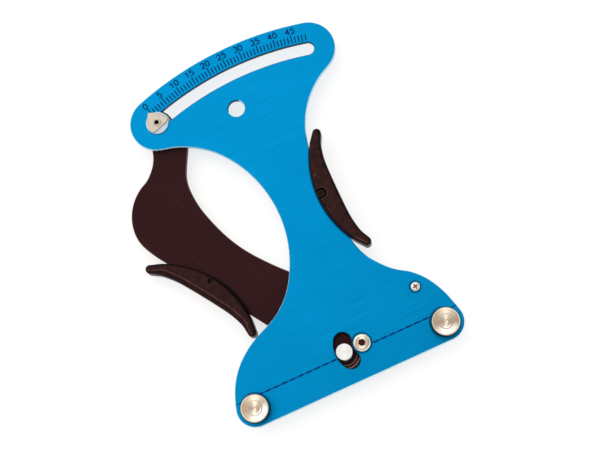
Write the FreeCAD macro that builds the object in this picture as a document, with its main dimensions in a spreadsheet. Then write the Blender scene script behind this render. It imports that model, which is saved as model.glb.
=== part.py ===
import FreeCAD, Part
import math
import os
import re
import Sketcher
from FreeCAD import Placement, Rotation, Vector

# Spoke tension meter: a frame plate with two fixed posts, a lever plate behind it
# that carries the moving pin and the pointer, two grips and a return spring.
# Millimetres. The origin is on the axis of a clamped spoke, midway between the
# fixed posts: +X along the spoke, +Y up to the scale, +Z out of the front face.

NODE_FOLDER = "parts"
CLOSE = 1e-5

# Driving dimensions, one spreadsheet cell each
SIZES = {
    # Frame plate
    "plate_thickness": 3.0,
    "edge_break": 0.35,
    "cut_overrun": 2.0,
    "waist_left": -2.0,
    "grip_land_low": 25.7,
    "grip_land_high": 22.7,
    "base_corner_radius": 12.0,
    "base_corner_rise": 1.0,
    "base_flank_angle": 14.0,
    "base_margin": 11.0,
    "right_shoulder_room": 7.86,
    "left_shoulder_room": 1.65,
    "left_shoulder_length": 8.9,
    "left_shoulder_overlap": 0.5,
    "left_shoulder_heading": 203.0,
    "hanging_hole_radius": 5.4,
    "hanging_hole_side": 1.05,
    "hanging_hole_drop": 18.6,
    # Fits
    "press_gap": 0.02,
    "running_gap": 0.05,
    "glide_gap": 0.3,
    "lever_gap": 0.8,
    # Fixed posts
    "spoke_diameter": 2.0,
    "spoke_over_pivot": 0.2,
    "post_span": 127.0,
    "post_neck_radius": 6.35,
    "post_neck_length": 5.8,
    "post_head_radius": 8.65,
    "post_head_thickness": 2.3,
    "post_head_bevel": 0.7,
    "post_recess_radius": 4.7,
    "post_recess_depth": 0.35,
    "post_dimple_radius": 1.1,
    "post_dimple_depth": 0.6,
    "post_spigot_radius": 4.0,
    "post_spigot_relief": 0.2,
    "post_tap_depth": 6.5,
    "post_washer_radius": 6.0,
    "post_washer_thickness": 0.8,
    "post_screw_radius": 2.0,
    "post_screw_length": 7.0,
    "post_screw_head_radius": 3.8,
    "post_screw_head_height": 2.2,
    "post_screw_socket_width": 2.5,
    "post_screw_socket_depth": 1.3,
    # Pivot
    "pivot_side": 12.0,
    "pivot_height": 2.6,
    "pivot_bolt_radius": 3.175,
    "pivot_bolt_end": 0.4,
    "pivot_head_radius": 5.55,
    "pivot_head_height": 3.2,
    "pivot_socket_width": 4.0,
    "pivot_socket_depth": 2.2,
    "pivot_bush_radius": 5.0,
    "pivot_flange_radius": 6.5,
    "pivot_flange_thickness": 0.5,
    "pivot_washer_radius": 7.0,
    "pivot_washer_thickness": 1.0,
    "pivot_nut_width": 11.1,
    "pivot_nut_height": 4.0,
    "pivot_nut_collar_radius": 5.2,
    "pivot_nut_collar_height": 1.5,
    # Scale
    "slot_radius": 193.9,
    "slot_width": 8.6,
    "rest_angle": 108.4,
    "travel_angle": 32.4,
    "scale_end_radius": 18.0,
    "scale_low_end_heading": 27.0,
    "scale_high_end_heading": 345.0,
    "scale_steps": 49,
    "scale_step_angle": 0.6525,
    "scale_lead_angle": 0.42,
    "tick_gap": 1.2,
    "tick_length": 4.4,
    "five_tick_length": 6.4,
    "tick_width": 0.7,
    "mark_depth": 0.15,
    "spoke_line_width": 0.5,
    "spoke_line_gap": 0.4,
    "dash_length": 3.3,
    "dash_width": 1.1,
    "dash_pitch": 5.5,
    "dash_start": 0.6,
    # Moving pin and its kidney slot
    "pin_arm": 12.15,
    "pin_rest_angle": 186.3,
    "pin_head_radius": 5.0,
    "pin_head_thickness": 2.4,
    "pin_head_bevel": 0.3,
    "pin_groove_foot": 0.6,
    "pin_groove_length": 5.0,
    "pin_neck_radius": 3.4,
    "pin_flange_radius": 4.6,
    "pin_spigot_radius": 2.8,
    "pin_tap_depth": 7.5,
    "pin_screw_radius": 1.5,
    "pin_screw_length": 7.6,
    "pin_screw_head_radius": 2.9,
    "pin_screw_head_height": 1.8,
    "pin_washer_radius": 3.8,
    "pin_washer_thickness": 0.6,
    "kidney_width": 11.0,
    "kidney_high_angle": 150.0,
    "kidney_low_angle": 213.0,
    # Lever plate
    "lever_thickness": 3.0,
    "lever_end_radius": 9.2,
    "lever_end_left_heading": 262.0,
    "lever_end_right_heading": 105.0,
    "lever_boss_radius": 11.2,
    "lever_boss_heading": 306.0,
    "lever_land_length": 36.0,
    "tail_reach": 18.0,
    "tail_drop": 5.6,
    "tail_radius": 4.2,
    "tail_heading": 165.0,
    # Pointer
    "pointer_reach": 8.9,
    "pointer_back": 3.8,
    "pointer_half_width": 6.6,
    "pointer_corner": 1.6,
    "pointer_tip_half_width": 0.35,
    "pointer_thickness": 1.0,
    "pointer_washer_radius": 7.3,
    "pointer_washer_thickness": 0.8,
    "pointer_glide_radius": 8.2,
    "pointer_glide_thickness": 0.5,
    "bush_side_gap": 0.35,
    "rivet_radius": 2.0,
    "rivet_bore_radius": 1.45,
    "rivet_rim_radius": 2.7,
    "rivet_rim_height": 0.5,
    "rivet_head_radius": 3.6,
    "rivet_head_height": 1.1,
    "rivet_floor": 1.5,
    # Grips, one moulding used twice
    "grip_thickness": 12.6,
    "grip_half_length": 41.2,
    "grip_screw_offset": 1.0,
    "grip_bulge": 3.1,
    "grip_palm": 10.2,
    "grip_tip_side": 13.2,
    "grip_tip_radius": 2.75,
    "grip_round": 2.3,
    "grip_edge_distance": 4.35,
    "grip_slot_room": 0.5,
    "grip_recess_radius": 3.5,
    "grip_recess_depth": 2.4,
    "grip_screw_radius": 1.5,
    "grip_screw_head_radius": 3.1,
    "grip_screw_head_height": 1.7,
    "grip_screw_end_depth": 1.4,
    "plate_grip_side": 27.75,
    "plate_grip_height": 98.2,
    "lever_grip_along_share": 0.47894,
    "lever_grip_left_share": 0.22332,
    "lever_grip_angle": 34.2,
    # Return spring, its stud on the lever and its post on the plate
    "anchor_inset": 7.4,
    "anchor_height_share": 0.4258,
    "anchor_radius": 3.4,
    "anchor_tap_depth": 5.0,
    "anchor_screw_radius": 1.5,
    "anchor_screw_length": 7.5,
    "anchor_screw_head_radius": 3.0,
    "anchor_screw_head_height": 1.9,
    "stud_radius": 2.0,
    "stud_collar_radius": 2.8,
    "stud_collar_height": 2.5,
    "groove_radius": 1.8,
    "groove_length": 2.0,
    "stud_head_height": 0.8,
    "spring_wire_diameter": 1.0,
    "spring_coil_radius": 2.6,
    "spring_loop_gap": 0.3,
    "spring_turns": 13,
    "spring_loop_open_angle": 60.0,
    "spring_loop_rise_angle": 12.0,
    "spring_lead_length": 6.8,
    # Cross recesses and screw heads
    "cross_arm_length": 3.4,
    "cross_arm_width": 0.9,
    "cross_depth": 1.0,
    "head_round": 1.2,
}

# Levels along Z, counted from the spoke's axis, which passes just over the pivot's head
FACE = "(0 - spoke_diameter / 2 - spoke_over_pivot - pivot_head_height)"
PLATE_BACK = f"({FACE} - plate_thickness)"
LEVER_FRONT = f"({PLATE_BACK} - lever_gap)"
LEVER_BACK = f"({LEVER_FRONT} - lever_thickness)"
SPRING_LEVEL = f"({LEVER_BACK} - stud_collar_height - groove_length / 2)"

# Places in the plane of the plates
POST_SIDE = "(post_span / 2)"
POST_HEIGHT = "(0 - post_neck_radius - spoke_diameter / 2)"
POINTER_SIDE = "(pivot_side + slot_radius * cos(rest_angle * 1 deg))"
POINTER_HEIGHT = "(pivot_height + slot_radius * sin(rest_angle * 1 deg))"
PIN_SIDE = "(pivot_side + pin_arm * cos(pin_rest_angle * 1 deg))"
PIN_HEIGHT = "(pivot_height + pin_arm * sin(pin_rest_angle * 1 deg))"
HANGING_HEIGHT = "(pivot_height + slot_radius - slot_width / 2 - hanging_hole_drop)"
LEVER_GRIP_SIDE = (
    "(pivot_side + slot_radius * (lever_grip_along_share * cos(rest_angle * 1 deg)"
    " - lever_grip_left_share * sin(rest_angle * 1 deg)))"
)
LEVER_GRIP_HEIGHT = (
    "(pivot_height + slot_radius * (lever_grip_along_share * sin(rest_angle * 1 deg)"
    " + lever_grip_left_share * cos(rest_angle * 1 deg)))"
)
SHOULDER_HEIGHT = "(plate_grip_height - grip_screw_offset - grip_half_length - right_shoulder_room)"
ANCHOR_SIDE = "(post_span / 2 - anchor_inset)"
ANCHOR_HEIGHT = f"({SHOULDER_HEIGHT} * anchor_height_share)"
STUD_SIDE = "(pivot_side + tail_reach)"
STUD_HEIGHT = "(pivot_height - tail_drop)"

# Outline stations of the frame plate, each with the heading of the edge in degrees.
# Right base: shares of half the post span and of the right shoulder's height.
PLATE_RIGHT_BASE_SHARES = (
    (1.151, 0.0898, 104.5),
    (0.920, 0.6204, 138.0),
    (0.819, 0.7143, 146.0),
    (0.613, 1.0, 125.0),
)
# Necks: shares of half the post span and of the way from the grip's screw to the slot
PLATE_RIGHT_NECK_SHARES = ((0.893, 0.7201, 35.0),)
PLATE_LEFT_NECK_SHARES = (
    (-0.649, 0.6822, 335.0),
    (-0.313, 0.5183, 309.5),
)
# Left waist: shares of the way from the waist to the left shoulder
PLATE_LEFT_WAIST_SHARES = (0.3138, 0.6525, 240.0)
# Left base: shares of half the post span and of the left shoulder's height
PLATE_LEFT_BASE_SHARES = (
    (-0.926, 0.7398, 220.0),
    (-1.142, 0.1479, 250.0),
)

# Outline stations of the lever: shares of the slot radius along the line from the
# pivot to the pointer and to its left, with the heading counted from that line
LEVER_LEFT_SHARES = (
    (0.939, 0.079, 147.6),
    (0.884, 0.149, 111.6),
    (0.874, 0.195, 106.6),
    (0.771, 0.302, 161.6),
)
LEVER_RIGHT_SHARES = (
    (0.039, -0.070, -3.4),
    (0.331, 0.013, 25.6),
    (0.574, 0.086, 4.0),
    (0.762, 0.069, -18.4),
    (0.816, 0.037, -43.4),
    (0.869, -0.016, -45.4),
    (0.911, -0.039, -18.4),
)

# Outline stations of a grip above its middle: shares of the half length, shares
# of the way from the palm or the inner bulge to the tip, and headings in degrees
GRIP_PALM_SHARES = (0.72, 0.38, 76.0)
GRIP_INNER_SHARES = (0.78, 0.62, 241.0)
GRIP_TIP_HEADINGS = (66.0, 234.0)

# Headings of the pointer's right edge in degrees, at its foot and at its tip
POINTER_SIDE_HEADING = 96.0
POINTER_TIP_HEADING = 141.0

doc = FreeCAD.newDocument("SpokeTensionMeter")
sheet = doc.addObject("Spreadsheet::Sheet", "Sizes")
for row, (alias, amount) in enumerate(SIZES.items(), start=1):
    sheet.set(f"A{row}", alias)
    sheet.set(f"B{row}", str(amount))
    sheet.setAlias(f"B{row}", alias)
doc.recompute()

NAMES = re.compile(r"\b(" + "|".join(sorted(SIZES, key=len, reverse=True)) + r")\b")


def bound(text):
    """An expression of sheet names as other objects have to write it."""
    return NAMES.sub(r"Sizes.\1", text)


def number(text):
    """The number that an expression of sheet names stands for now."""
    result = sheet.evalExpression(text)
    return float(getattr(result, "Value", result))


def point(side, height):
    """A flat point from two expressions."""
    return Vector(number(side), number(height), 0)


def heading(degrees):
    """Unit vector in the plane at an angle from +X."""
    return Vector(math.cos(math.radians(degrees)), math.sin(math.radians(degrees)), 0)


# Outlines

def arc_middle(start, direction, end):
    """Middle of the arc that leaves start along direction and ends at end."""
    chord = end - start
    half_turn = direction.getAngle(chord)
    across = direction - chord * (direction.dot(chord) / chord.dot(chord))
    if half_turn < CLOSE or across.Length < CLOSE:
        return None
    across.normalize()
    return start + chord * 0.5 + across * (chord.Length / 2 * math.tan(half_turn / 2))


def biarc_joint(start, leaving, end, arriving):
    """Where two tangent arcs meet between two points with given directions."""
    chord = end - start
    both = leaving + arriving
    squared = 2 * (leaving.dot(arriving) - 1)
    if abs(squared) < CLOSE:
        reach = chord.dot(chord) / (4 * chord.dot(arriving))
    else:
        along = 2 * chord.dot(both)
        root = math.sqrt(along * along - 4 * squared * chord.dot(chord))
        reach = (along - root) / (2 * squared)
    return (start + leaving * reach + end - arriving * reach) * 0.5


def flat_arc(start, middle, end):
    """Sketch arc through three points, turning about +Z."""
    circle = Part.Circle(start, middle, end)
    first, last = start, end
    if (middle - start).cross(end - middle).z < 0:
        first, last = last, first
    upright = Part.Circle(circle.Center, Vector(0, 0, 1), circle.Radius)
    angles = [math.atan2(p.y - circle.Center.y, p.x - circle.Center.x) for p in (first, last)]
    return Part.ArcOfCircle(upright, *angles)


def flat_edge(start, direction, end):
    """Sketch geometry from start to end that leaves start along direction."""
    middle = arc_middle(start, direction, end)
    if middle is None:
        return Part.LineSegment(start, end)
    return flat_arc(start, middle, end)


def outline(stations):
    """Closed run of tangent arcs and lines through (point, heading) stations."""
    edges = []
    for (start, leaving), (end, arriving) in zip(stations, stations[1:] + stations[:1]):
        joint = biarc_joint(start, heading(leaving), end, heading(arriving))
        edges.append(flat_edge(start, heading(leaving), joint))
        back = flat_edge(end, heading(arriving) * -1, joint)
        edges.append(back)
    return edges


def polygon(corners):
    """Closed run of lines through corners."""
    return [Part.LineSegment(a, b) for a, b in zip(corners, corners[1:] + corners[:1])]


def bar(start, end, width):
    """Rectangle of a width about the line from start to end."""
    along = (end - start).normalize()
    side = Vector(-along.y, along.x, 0) * (width / 2)
    return polygon([start - side, end - side, end + side, start + side])


def arc_slot(centre, radius, width, first_angle, last_angle):
    """Round-ended slot along an arc about a centre."""
    half = width / 2
    edges = []
    for reach in (radius + half, radius - half):
        run = [centre + heading(a) * reach
               for a in (first_angle, (first_angle + last_angle) / 2, last_angle)]
        edges.append(flat_arc(*run))
    for angle, outward in ((first_angle, -1), (last_angle, 1)):
        cap = centre + heading(angle) * radius
        out = heading(angle) * half
        edges.append(flat_arc(cap - out, cap + heading(angle + 90) * (half * outward), cap + out))
    return edges


# Bodies and features

def new_body(label, side="0", height="0", level="0", turn=None):
    """A body placed by expressions, turned by a rotation."""
    body = doc.addObject("PartDesign::Body", label)
    body.Label = label
    base = Vector(number(side), number(height), number(level))
    body.Placement = Placement(base, turn or Rotation())
    body.setExpression("Placement.Base.x", bound(side))
    body.setExpression("Placement.Base.y", bound(height))
    body.setExpression("Placement.Base.z", bound(level))
    return body


def origin_plane(body, role):
    """One of the body's own origin planes."""
    return next(f for f in body.Origin.OriginFeatures if f.Role == role)


def new_sketch(body, name, role="XY_Plane", side="0", height="0", level="0"):
    """A sketch on an origin plane, shifted by expressions."""
    sketch = body.newObject("Sketcher::SketchObject", name)
    sketch.AttachmentSupport = [(origin_plane(body, role), "")]
    sketch.MapMode = "FlatFace"
    for axis, text in (("x", side), ("y", height), ("z", level)):
        if text != "0":
            sketch.setExpression(f"AttachmentOffset.Base.{axis}", bound(text))
    return sketch


def pin_vertex(sketch, edge, text, kind, axis):
    """Ties the start of an edge to an expression, or to an axis where it is zero."""
    if text == "0":
        sketch.addConstraint(Sketcher.Constraint("PointOnObject", edge, 1, axis))
        return
    index = sketch.addConstraint(Sketcher.Constraint(kind, -1, 1, edge, 1, number(text)))
    sketch.setExpression(f"Constraints[{index}]", bound(text))


def turned(body, name, profile):
    """Solid of revolution about Z from (radius, level) expressions."""
    sketch = new_sketch(body, f"{name}_profile", "XZ_Plane")
    corners = [point(radius, level) for radius, level in profile]
    for edge in polygon(corners):
        sketch.addGeometry(edge, False)
    count = len(corners)
    for edge in range(count):
        joined = Sketcher.Constraint("Coincident", edge, 2, (edge + 1) % count, 1)
        sketch.addConstraint(joined)
    for edge, (radius, level) in enumerate(profile):
        pin_vertex(sketch, edge, radius, "DistanceX", -2)
        pin_vertex(sketch, edge, level, "DistanceY", -1)
    feature = body.newObject("PartDesign::Revolution", name)
    feature.Profile = sketch
    feature.ReferenceAxis = (sketch, ["V_Axis"])
    feature.Angle = 360
    doc.recompute()
    return feature


def hole_sketch(body, name, radius, side="0", height="0", level="0"):
    """A sketch with one circle whose radius and place are expressions."""
    sketch = new_sketch(body, name, side=side, height=height, level=level)
    sketch.addGeometry(Part.Circle(Vector(), Vector(0, 0, 1), number(radius)), False)
    sketch.addConstraint(Sketcher.Constraint("Coincident", 0, 3, -1, 1))
    index = sketch.addConstraint(Sketcher.Constraint("Radius", 0, number(radius)))
    sketch.setExpression(f"Constraints[{index}]", bound(radius))
    return sketch


def drawn_sketch(body, name, edges, side="0", height="0", level="0"):
    """A sketch with given edges."""
    sketch = new_sketch(body, name, side=side, height=height, level=level)
    for edge in edges:
        sketch.addGeometry(edge, False)
    return sketch


def pad(body, name, sketch, length):
    """Adds material above a sketch."""
    feature = body.newObject("PartDesign::Pad", name)
    feature.Profile = sketch
    feature.Length = number(length)
    feature.setExpression("Length", bound(length))
    doc.recompute()
    return feature


def pocket(body, name, sketch, depth=None, upward=False):
    """Cuts a sketch downward by a depth, or all the way through both ways."""
    before = body.Shape.Volume
    feature = body.newObject("PartDesign::Pocket", name)
    feature.Profile = sketch
    if depth is None:
        feature.Type = "ThroughAll"
        feature.SideType = "Symmetric"
    else:
        feature.Length = number(depth)
        feature.setExpression("Length", bound(depth))
        feature.Reversed = upward
    doc.recompute()
    if not body.Shape.Volume < before:
        raise RuntimeError(f"{body.Label}: {name} cuts nothing")
    return feature


def edge_names(shape, wanted):
    """Names of the edges that a test picks."""
    return [f"Edge{i}" for i, edge in enumerate(shape.Edges, start=1) if wanted(edge)]


def dress(body, kind, name, base, edges, amount):
    """Fillet or chamfer of named edges by an expression."""
    feature = body.newObject(f"PartDesign::{kind}", name)
    feature.Base = (base, edges)
    amount_name = "Radius" if kind == "Fillet" else "Size"
    setattr(feature, amount_name, number(amount))
    feature.setExpression(amount_name, bound(amount))
    doc.recompute()
    return feature


def rim(shape, radius, level):
    """Names of the full circles of a radius at a level."""
    def wanted(edge):
        curve = edge.Curve
        return (isinstance(curve, Part.Circle)
                and abs(curve.Radius - number(radius)) < CLOSE
                and abs(curve.Center.z - number(level)) < CLOSE)
    return edge_names(shape, wanted)


def break_plate_edges(body, base, thickness):
    """Small chamfer on every edge of a plate's two faces."""
    top = number(thickness)

    def wanted(edge):
        box = edge.BoundBox
        flat = box.ZLength < CLOSE
        return flat and (abs(box.ZMin) < CLOSE or abs(box.ZMin - top) < CLOSE)
    return dress(body, "Chamfer", "edge_breaks", base, edge_names(base.Shape, wanted), "edge_break")


# Fasteners

def ring(label, bore, radius, thickness, side, height, level):
    """A washer whose lower face lies at a level."""
    body = new_body(label, side, height, level)
    turned(body, "ring", [(bore, "0"), (radius, "0"), (radius, thickness), (bore, thickness)])
    return body


def cut_cross(body, head_level):
    """Cross recess in the top of a screw head."""
    half_length = number("cross_arm_length / 2")
    half_width = number("cross_arm_width / 2")
    corners = []
    for quarter in range(4):
        outward = heading(90 * quarter)
        side = heading(90 * quarter + 90)
        corners.append(outward * half_length - side * half_width)
        corners.append(outward * half_length + side * half_width)
        corners.append((outward + side) * half_width)
    sketch = drawn_sketch(body, "cross_sketch", polygon(corners), level=head_level)
    pocket(body, "cross", sketch, "cross_depth")


def hexagon(width):
    """Corners of a hexagon across whose flats a width lies."""
    reach = number(width) / 2 / math.cos(math.radians(30))
    return [heading(60 * k) * reach for k in range(6)]


def screw(label, name, side, height, seat, drive, from_behind=False, quarter_turn=0):
    """A screw whose head sits on a level, its local origin at the shank's end."""
    radius, length = f"{name}_radius", f"{name}_length"
    head_radius, head_height = f"{name}_head_radius", f"{name}_head_height"
    if from_behind:
        turn = Rotation(Vector(0, 0, 1), quarter_turn) * Rotation(Vector(1, 0, 0), 180)
        body = new_body(label, side, height, f"({seat} + {length})", turn)
    else:
        turn = Rotation(Vector(0, 0, 1), quarter_turn)
        body = new_body(label, side, height, f"({seat} - {length})", turn)
    top = f"({length} + {head_height})"
    stem = turned(body, "stem", [
        ("0", "0"), (f"({radius} - edge_break)", "0"), (radius, "edge_break"), (radius, length),
        (head_radius, length), (head_radius, top), ("0", top),
    ])
    dress(body, "Fillet", "head_dome", stem, rim(stem.Shape, head_radius, top), "head_round")
    if drive == "cross":
        cut_cross(body, top)
    else:
        sketch = drawn_sketch(body, "socket_sketch", polygon(hexagon(f"{name}_socket_width")), level=top)
        pocket(body, "socket", sketch, f"{name}_socket_depth")
    return body


# Frame plate

def scaled(shares, foot, top):
    """Stations from shares of the half span and of the way from a foot to a top height."""
    half_span = number(POST_SIDE)
    return [(Vector(x * half_span, foot + y * (top - foot), 0), angle) for x, y, angle in shares]


def left_shoulder():
    """Edge of the plate just below the left grip's lower tip, as two stations."""
    tilt = number("lever_grip_angle")
    course = number("left_shoulder_heading")
    tip = point(LEVER_GRIP_SIDE, LEVER_GRIP_HEIGHT)
    tip += heading(tilt + 180) * number("grip_tip_side")
    tip += heading(tilt - 90) * number("grip_half_length + grip_screw_offset - grip_tip_radius")
    near = tip + heading(course + 90) * number("grip_tip_radius + left_shoulder_room")
    near -= heading(course) * number("left_shoulder_overlap")
    return [(near - heading(course) * number("left_shoulder_length"), course), (near, course)]


def plate_outline():
    """Outer edge of the frame plate, anticlockwise from its lower left corner."""
    pivot = point("pivot_side", "pivot_height")
    corner = number("base_corner_radius")
    post = point(POST_SIDE, POST_HEIGHT)
    bottom = post.y - number("base_margin")
    flank_angle = number("base_flank_angle")
    flank = heading(flank_angle) * corner + Vector(0, number("base_corner_rise"), 0)
    land = number("plate_grip_side + grip_edge_distance")
    screw_height = number("plate_grip_height")
    low_angle = number("rest_angle - travel_angle")
    high_angle = number("rest_angle")
    low_heading = number("scale_low_end_heading")
    high_heading = number("scale_high_end_heading")
    end = number("scale_end_radius")
    slot = number("slot_radius")
    slot_height = number("pivot_height + slot_radius")
    right_end = pivot + heading(low_angle) * slot
    left_end = pivot + heading(high_angle) * slot
    waist = Vector(number("waist_left"), screw_height, 0)
    shoulder = left_shoulder()
    reach = shoulder[0][0] - waist
    waist_side, waist_drop, waist_heading = PLATE_LEFT_WAIST_SHARES
    stations = [
        (Vector(-post.x, bottom, 0), 0),
        (Vector(post.x, bottom, 0), 0),
        (post + flank, flank_angle + 90),
    ]
    stations += scaled(PLATE_RIGHT_BASE_SHARES, 0, number(SHOULDER_HEIGHT))
    stations += [
        (Vector(land, screw_height - number("grip_land_low"), 0), 90),
        (Vector(land, screw_height + number("grip_land_high"), 0), 90),
    ]
    stations += scaled(PLATE_RIGHT_NECK_SHARES, screw_height, slot_height)
    stations += [
        (right_end + heading(low_heading - 90) * end, low_heading),
        (right_end + heading(low_angle) * end, low_angle + 90),
        (left_end + heading(high_angle) * end, high_angle + 90),
        (left_end + heading(high_heading - 90) * end, high_heading),
    ]
    stations += scaled(PLATE_LEFT_NECK_SHARES, screw_height, slot_height)
    stations += [
        (waist, 270),
        (waist + Vector(reach.x * waist_side, reach.y * waist_drop, 0), waist_heading),
    ]
    stations += shoulder
    stations += scaled(PLATE_LEFT_BASE_SHARES, 0, shoulder[1][0].y)
    stations += [(Vector(-post.x - flank.x, post.y + flank.y, 0), 270 - flank_angle)]
    return outline(stations)


def cut_scale_marks(body):
    """Engraved ticks, one per step and a longer one at each fifth."""
    foot = number("slot_radius + slot_width / 2 + tick_gap")
    width = number("tick_width")
    step = number("scale_step_angle")
    edges = []
    for k in range(int(number("scale_steps")) + 1):
        outward = heading(number("rest_angle - scale_lead_angle") - k * step)
        length = number("five_tick_length" if k % 5 == 0 else "tick_length")
        edges += bar(outward * foot, outward * (foot + length), width)
    sketch = drawn_sketch(body, "ticks_sketch", edges, "pivot_side", "pivot_height", "plate_thickness")
    pocket(body, "ticks", sketch, "mark_depth")


def cut_spoke_line(body):
    """Engraved line where the spoke lies, with dashes along it."""
    left = number(f"{PIN_SIDE} - kidney_width / 2 - spoke_line_gap")
    right = number("pivot_side + pivot_head_radius + spoke_line_gap")
    edge = number(f"{POST_SIDE} + base_corner_radius + cut_overrun")
    last = number(f"{POST_SIDE} + base_corner_radius / 2")
    length = number("dash_length")
    pitch = number("dash_pitch")
    lines = []
    dashes = []
    for start, outward in ((Vector(left, 0, 0), Vector(-1, 0, 0)), (Vector(right, 0, 0), Vector(1, 0, 0))):
        lines += bar(start, outward * edge, number("spoke_line_width"))
        for k in range(int((last - start.Length - length) // pitch) + 1):
            dash = start + outward * (pitch * k + number("dash_start"))
            dashes += bar(dash, dash + outward * length, number("dash_width"))
    for name, edges in (("line", lines), ("dashes", dashes)):
        sketch = drawn_sketch(body, f"{name}_sketch", edges, level="plate_thickness")
        pocket(body, name, sketch, "mark_depth")


def front_plate():
    """Frame plate with its slots, holes and engraved marks."""
    body = new_body("front_plate", level=PLATE_BACK)
    blank = drawn_sketch(body, "outline", plate_outline())
    pad(body, "blank", blank, "plate_thickness")
    pivot = point("pivot_side", "pivot_height")
    scale_slot = arc_slot(
        pivot, number("slot_radius"), number("slot_width"),
        number("rest_angle - travel_angle"), number("rest_angle"))
    pocket(body, "scale_slot", drawn_sketch(body, "scale_slot_sketch", scale_slot))
    kidney = arc_slot(
        pivot, number("pin_arm"), number("kidney_width"),
        number("kidney_high_angle"), number("kidney_low_angle"))
    last = pocket(body, "kidney", drawn_sketch(body, "kidney_sketch", kidney))
    for name, radius, side, height in (
        ("hanging_hole", "hanging_hole_radius", "hanging_hole_side", HANGING_HEIGHT),
        ("left_post_hole", "post_spigot_radius + press_gap", f"0 - {POST_SIDE}", POST_HEIGHT),
        ("right_post_hole", "post_spigot_radius + press_gap", POST_SIDE, POST_HEIGHT),
        ("pivot_hole", "pivot_bolt_radius + press_gap", "pivot_side", "pivot_height"),
        ("anchor_hole", "anchor_screw_radius + press_gap", ANCHOR_SIDE, ANCHOR_HEIGHT),
        ("grip_hole", "grip_screw_radius + press_gap", "plate_grip_side", "plate_grip_height"),
    ):
        last = pocket(body, name, hole_sketch(body, f"{name}_sketch", radius, side, height))
    break_plate_edges(body, last, "plate_thickness")
    cut_scale_marks(body)
    cut_spoke_line(body)
    return body


# Fixed posts

def fixed_post(label, side):
    """Turned post with a neck for the spoke and a tapped spigot."""
    spigot = "(plate_thickness - post_spigot_relief)"
    underside = f"({spigot} + post_neck_length)"
    top = f"({underside} + post_head_thickness)"
    body = new_body(label, side, POST_HEIGHT, f"{FACE} - {spigot}")
    turned(body, "post", [
        ("post_screw_radius + press_gap", "0"),
        ("post_spigot_radius", "0"),
        ("post_spigot_radius", spigot),
        ("post_neck_radius", spigot),
        ("post_neck_radius", underside),
        ("post_head_radius", underside),
        ("post_head_radius", f"{top} - post_head_bevel"),
        ("post_head_radius - post_head_bevel", top),
        ("post_recess_radius", top),
        ("post_recess_radius - post_recess_depth", f"{top} - post_recess_depth"),
        ("post_dimple_radius", f"{top} - post_recess_depth"),
        ("0", f"{top} - post_recess_depth - post_dimple_depth"),
        ("0", "post_tap_depth"),
        ("post_screw_radius + press_gap", "post_tap_depth"),
    ])
    return body


def posts():
    """Both posts with their washers and screws."""
    for name, side in (("left", f"(0 - {POST_SIDE})"), ("right", POST_SIDE)):
        fixed_post(f"fixed_post_{name}", side)
        ring(f"post_washer_{name}", "post_screw_radius + press_gap", "post_washer_radius",
             "post_washer_thickness", side, POST_HEIGHT, f"{PLATE_BACK} - post_washer_thickness")
        screw(f"post_screw_{name}", "post_screw", side, POST_HEIGHT,
              f"({PLATE_BACK} - post_washer_thickness)", "hex", from_behind=True)


# Pivot

def pivot_bolt():
    """Button-head bolt that is the lever's axle."""
    bottom = f"({LEVER_BACK} - glide_gap - pivot_washer_thickness - pivot_nut_height"
    bottom += " - pivot_nut_collar_height - pivot_bolt_end)"
    shank = f"({FACE} - {bottom})"
    top = f"({shank} + pivot_head_height)"
    body = new_body("pivot_bolt", "pivot_side", "pivot_height", bottom)
    stem = turned(body, "stem", [
        ("0", "0"), ("pivot_bolt_radius - edge_break", "0"), ("pivot_bolt_radius", "edge_break"),
        ("pivot_bolt_radius", shank), ("pivot_head_radius", shank), ("pivot_head_radius", top), ("0", top),
    ])
    dome = "pivot_head_height / 2"
    dress(body, "Fillet", "head_dome", stem, rim(stem.Shape, "pivot_head_radius", top), dome)
    socket = drawn_sketch(body, "socket_sketch", polygon(hexagon("pivot_socket_width")), level=top)
    pocket(body, "socket", socket, "pivot_socket_depth")
    return body


def pivot_bush():
    """Flanged bush pressed in the lever, running on the bolt."""
    bore = "pivot_bolt_radius + running_gap"
    body = new_body("pivot_bush", "pivot_side", "pivot_height", LEVER_BACK)
    top = "lever_thickness + pivot_flange_thickness"
    turned(body, "bush", [
        (bore, "0"), ("pivot_bush_radius", "0"), ("pivot_bush_radius", "lever_thickness"),
        ("pivot_flange_radius", "lever_thickness"), ("pivot_flange_radius", top), (bore, top),
    ])
    return body


def pivot_nut():
    """Lock nut with a round collar."""
    seat = f"{LEVER_BACK} - glide_gap - pivot_washer_thickness - pivot_nut_height - pivot_nut_collar_height"
    body = new_body("pivot_nut", "pivot_side", "pivot_height", seat)
    collar = hole_sketch(body, "collar_sketch", "pivot_nut_collar_radius")
    pad(body, "collar", collar, "pivot_nut_collar_height + edge_break")
    flats = drawn_sketch(body, "flats_sketch", polygon(hexagon("pivot_nut_width")),
                         level="pivot_nut_collar_height")
    last = pad(body, "flats", flats, "pivot_nut_height")
    lip = rim(last.Shape, "pivot_nut_collar_radius", "0")
    dress(body, "Fillet", "collar_round", last, lip, "edge_break")
    pocket(body, "bore", hole_sketch(body, "bore_sketch", "pivot_bolt_radius + press_gap"))
    return body


def pivot():
    """Everything on the axle."""
    pivot_bolt()
    pivot_bush()
    ring("pivot_washer", "pivot_bolt_radius + press_gap", "pivot_washer_radius",
         "pivot_washer_thickness", "pivot_side", "pivot_height",
         f"{LEVER_BACK} - glide_gap - pivot_washer_thickness")
    pivot_nut()


# Lever plate

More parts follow.
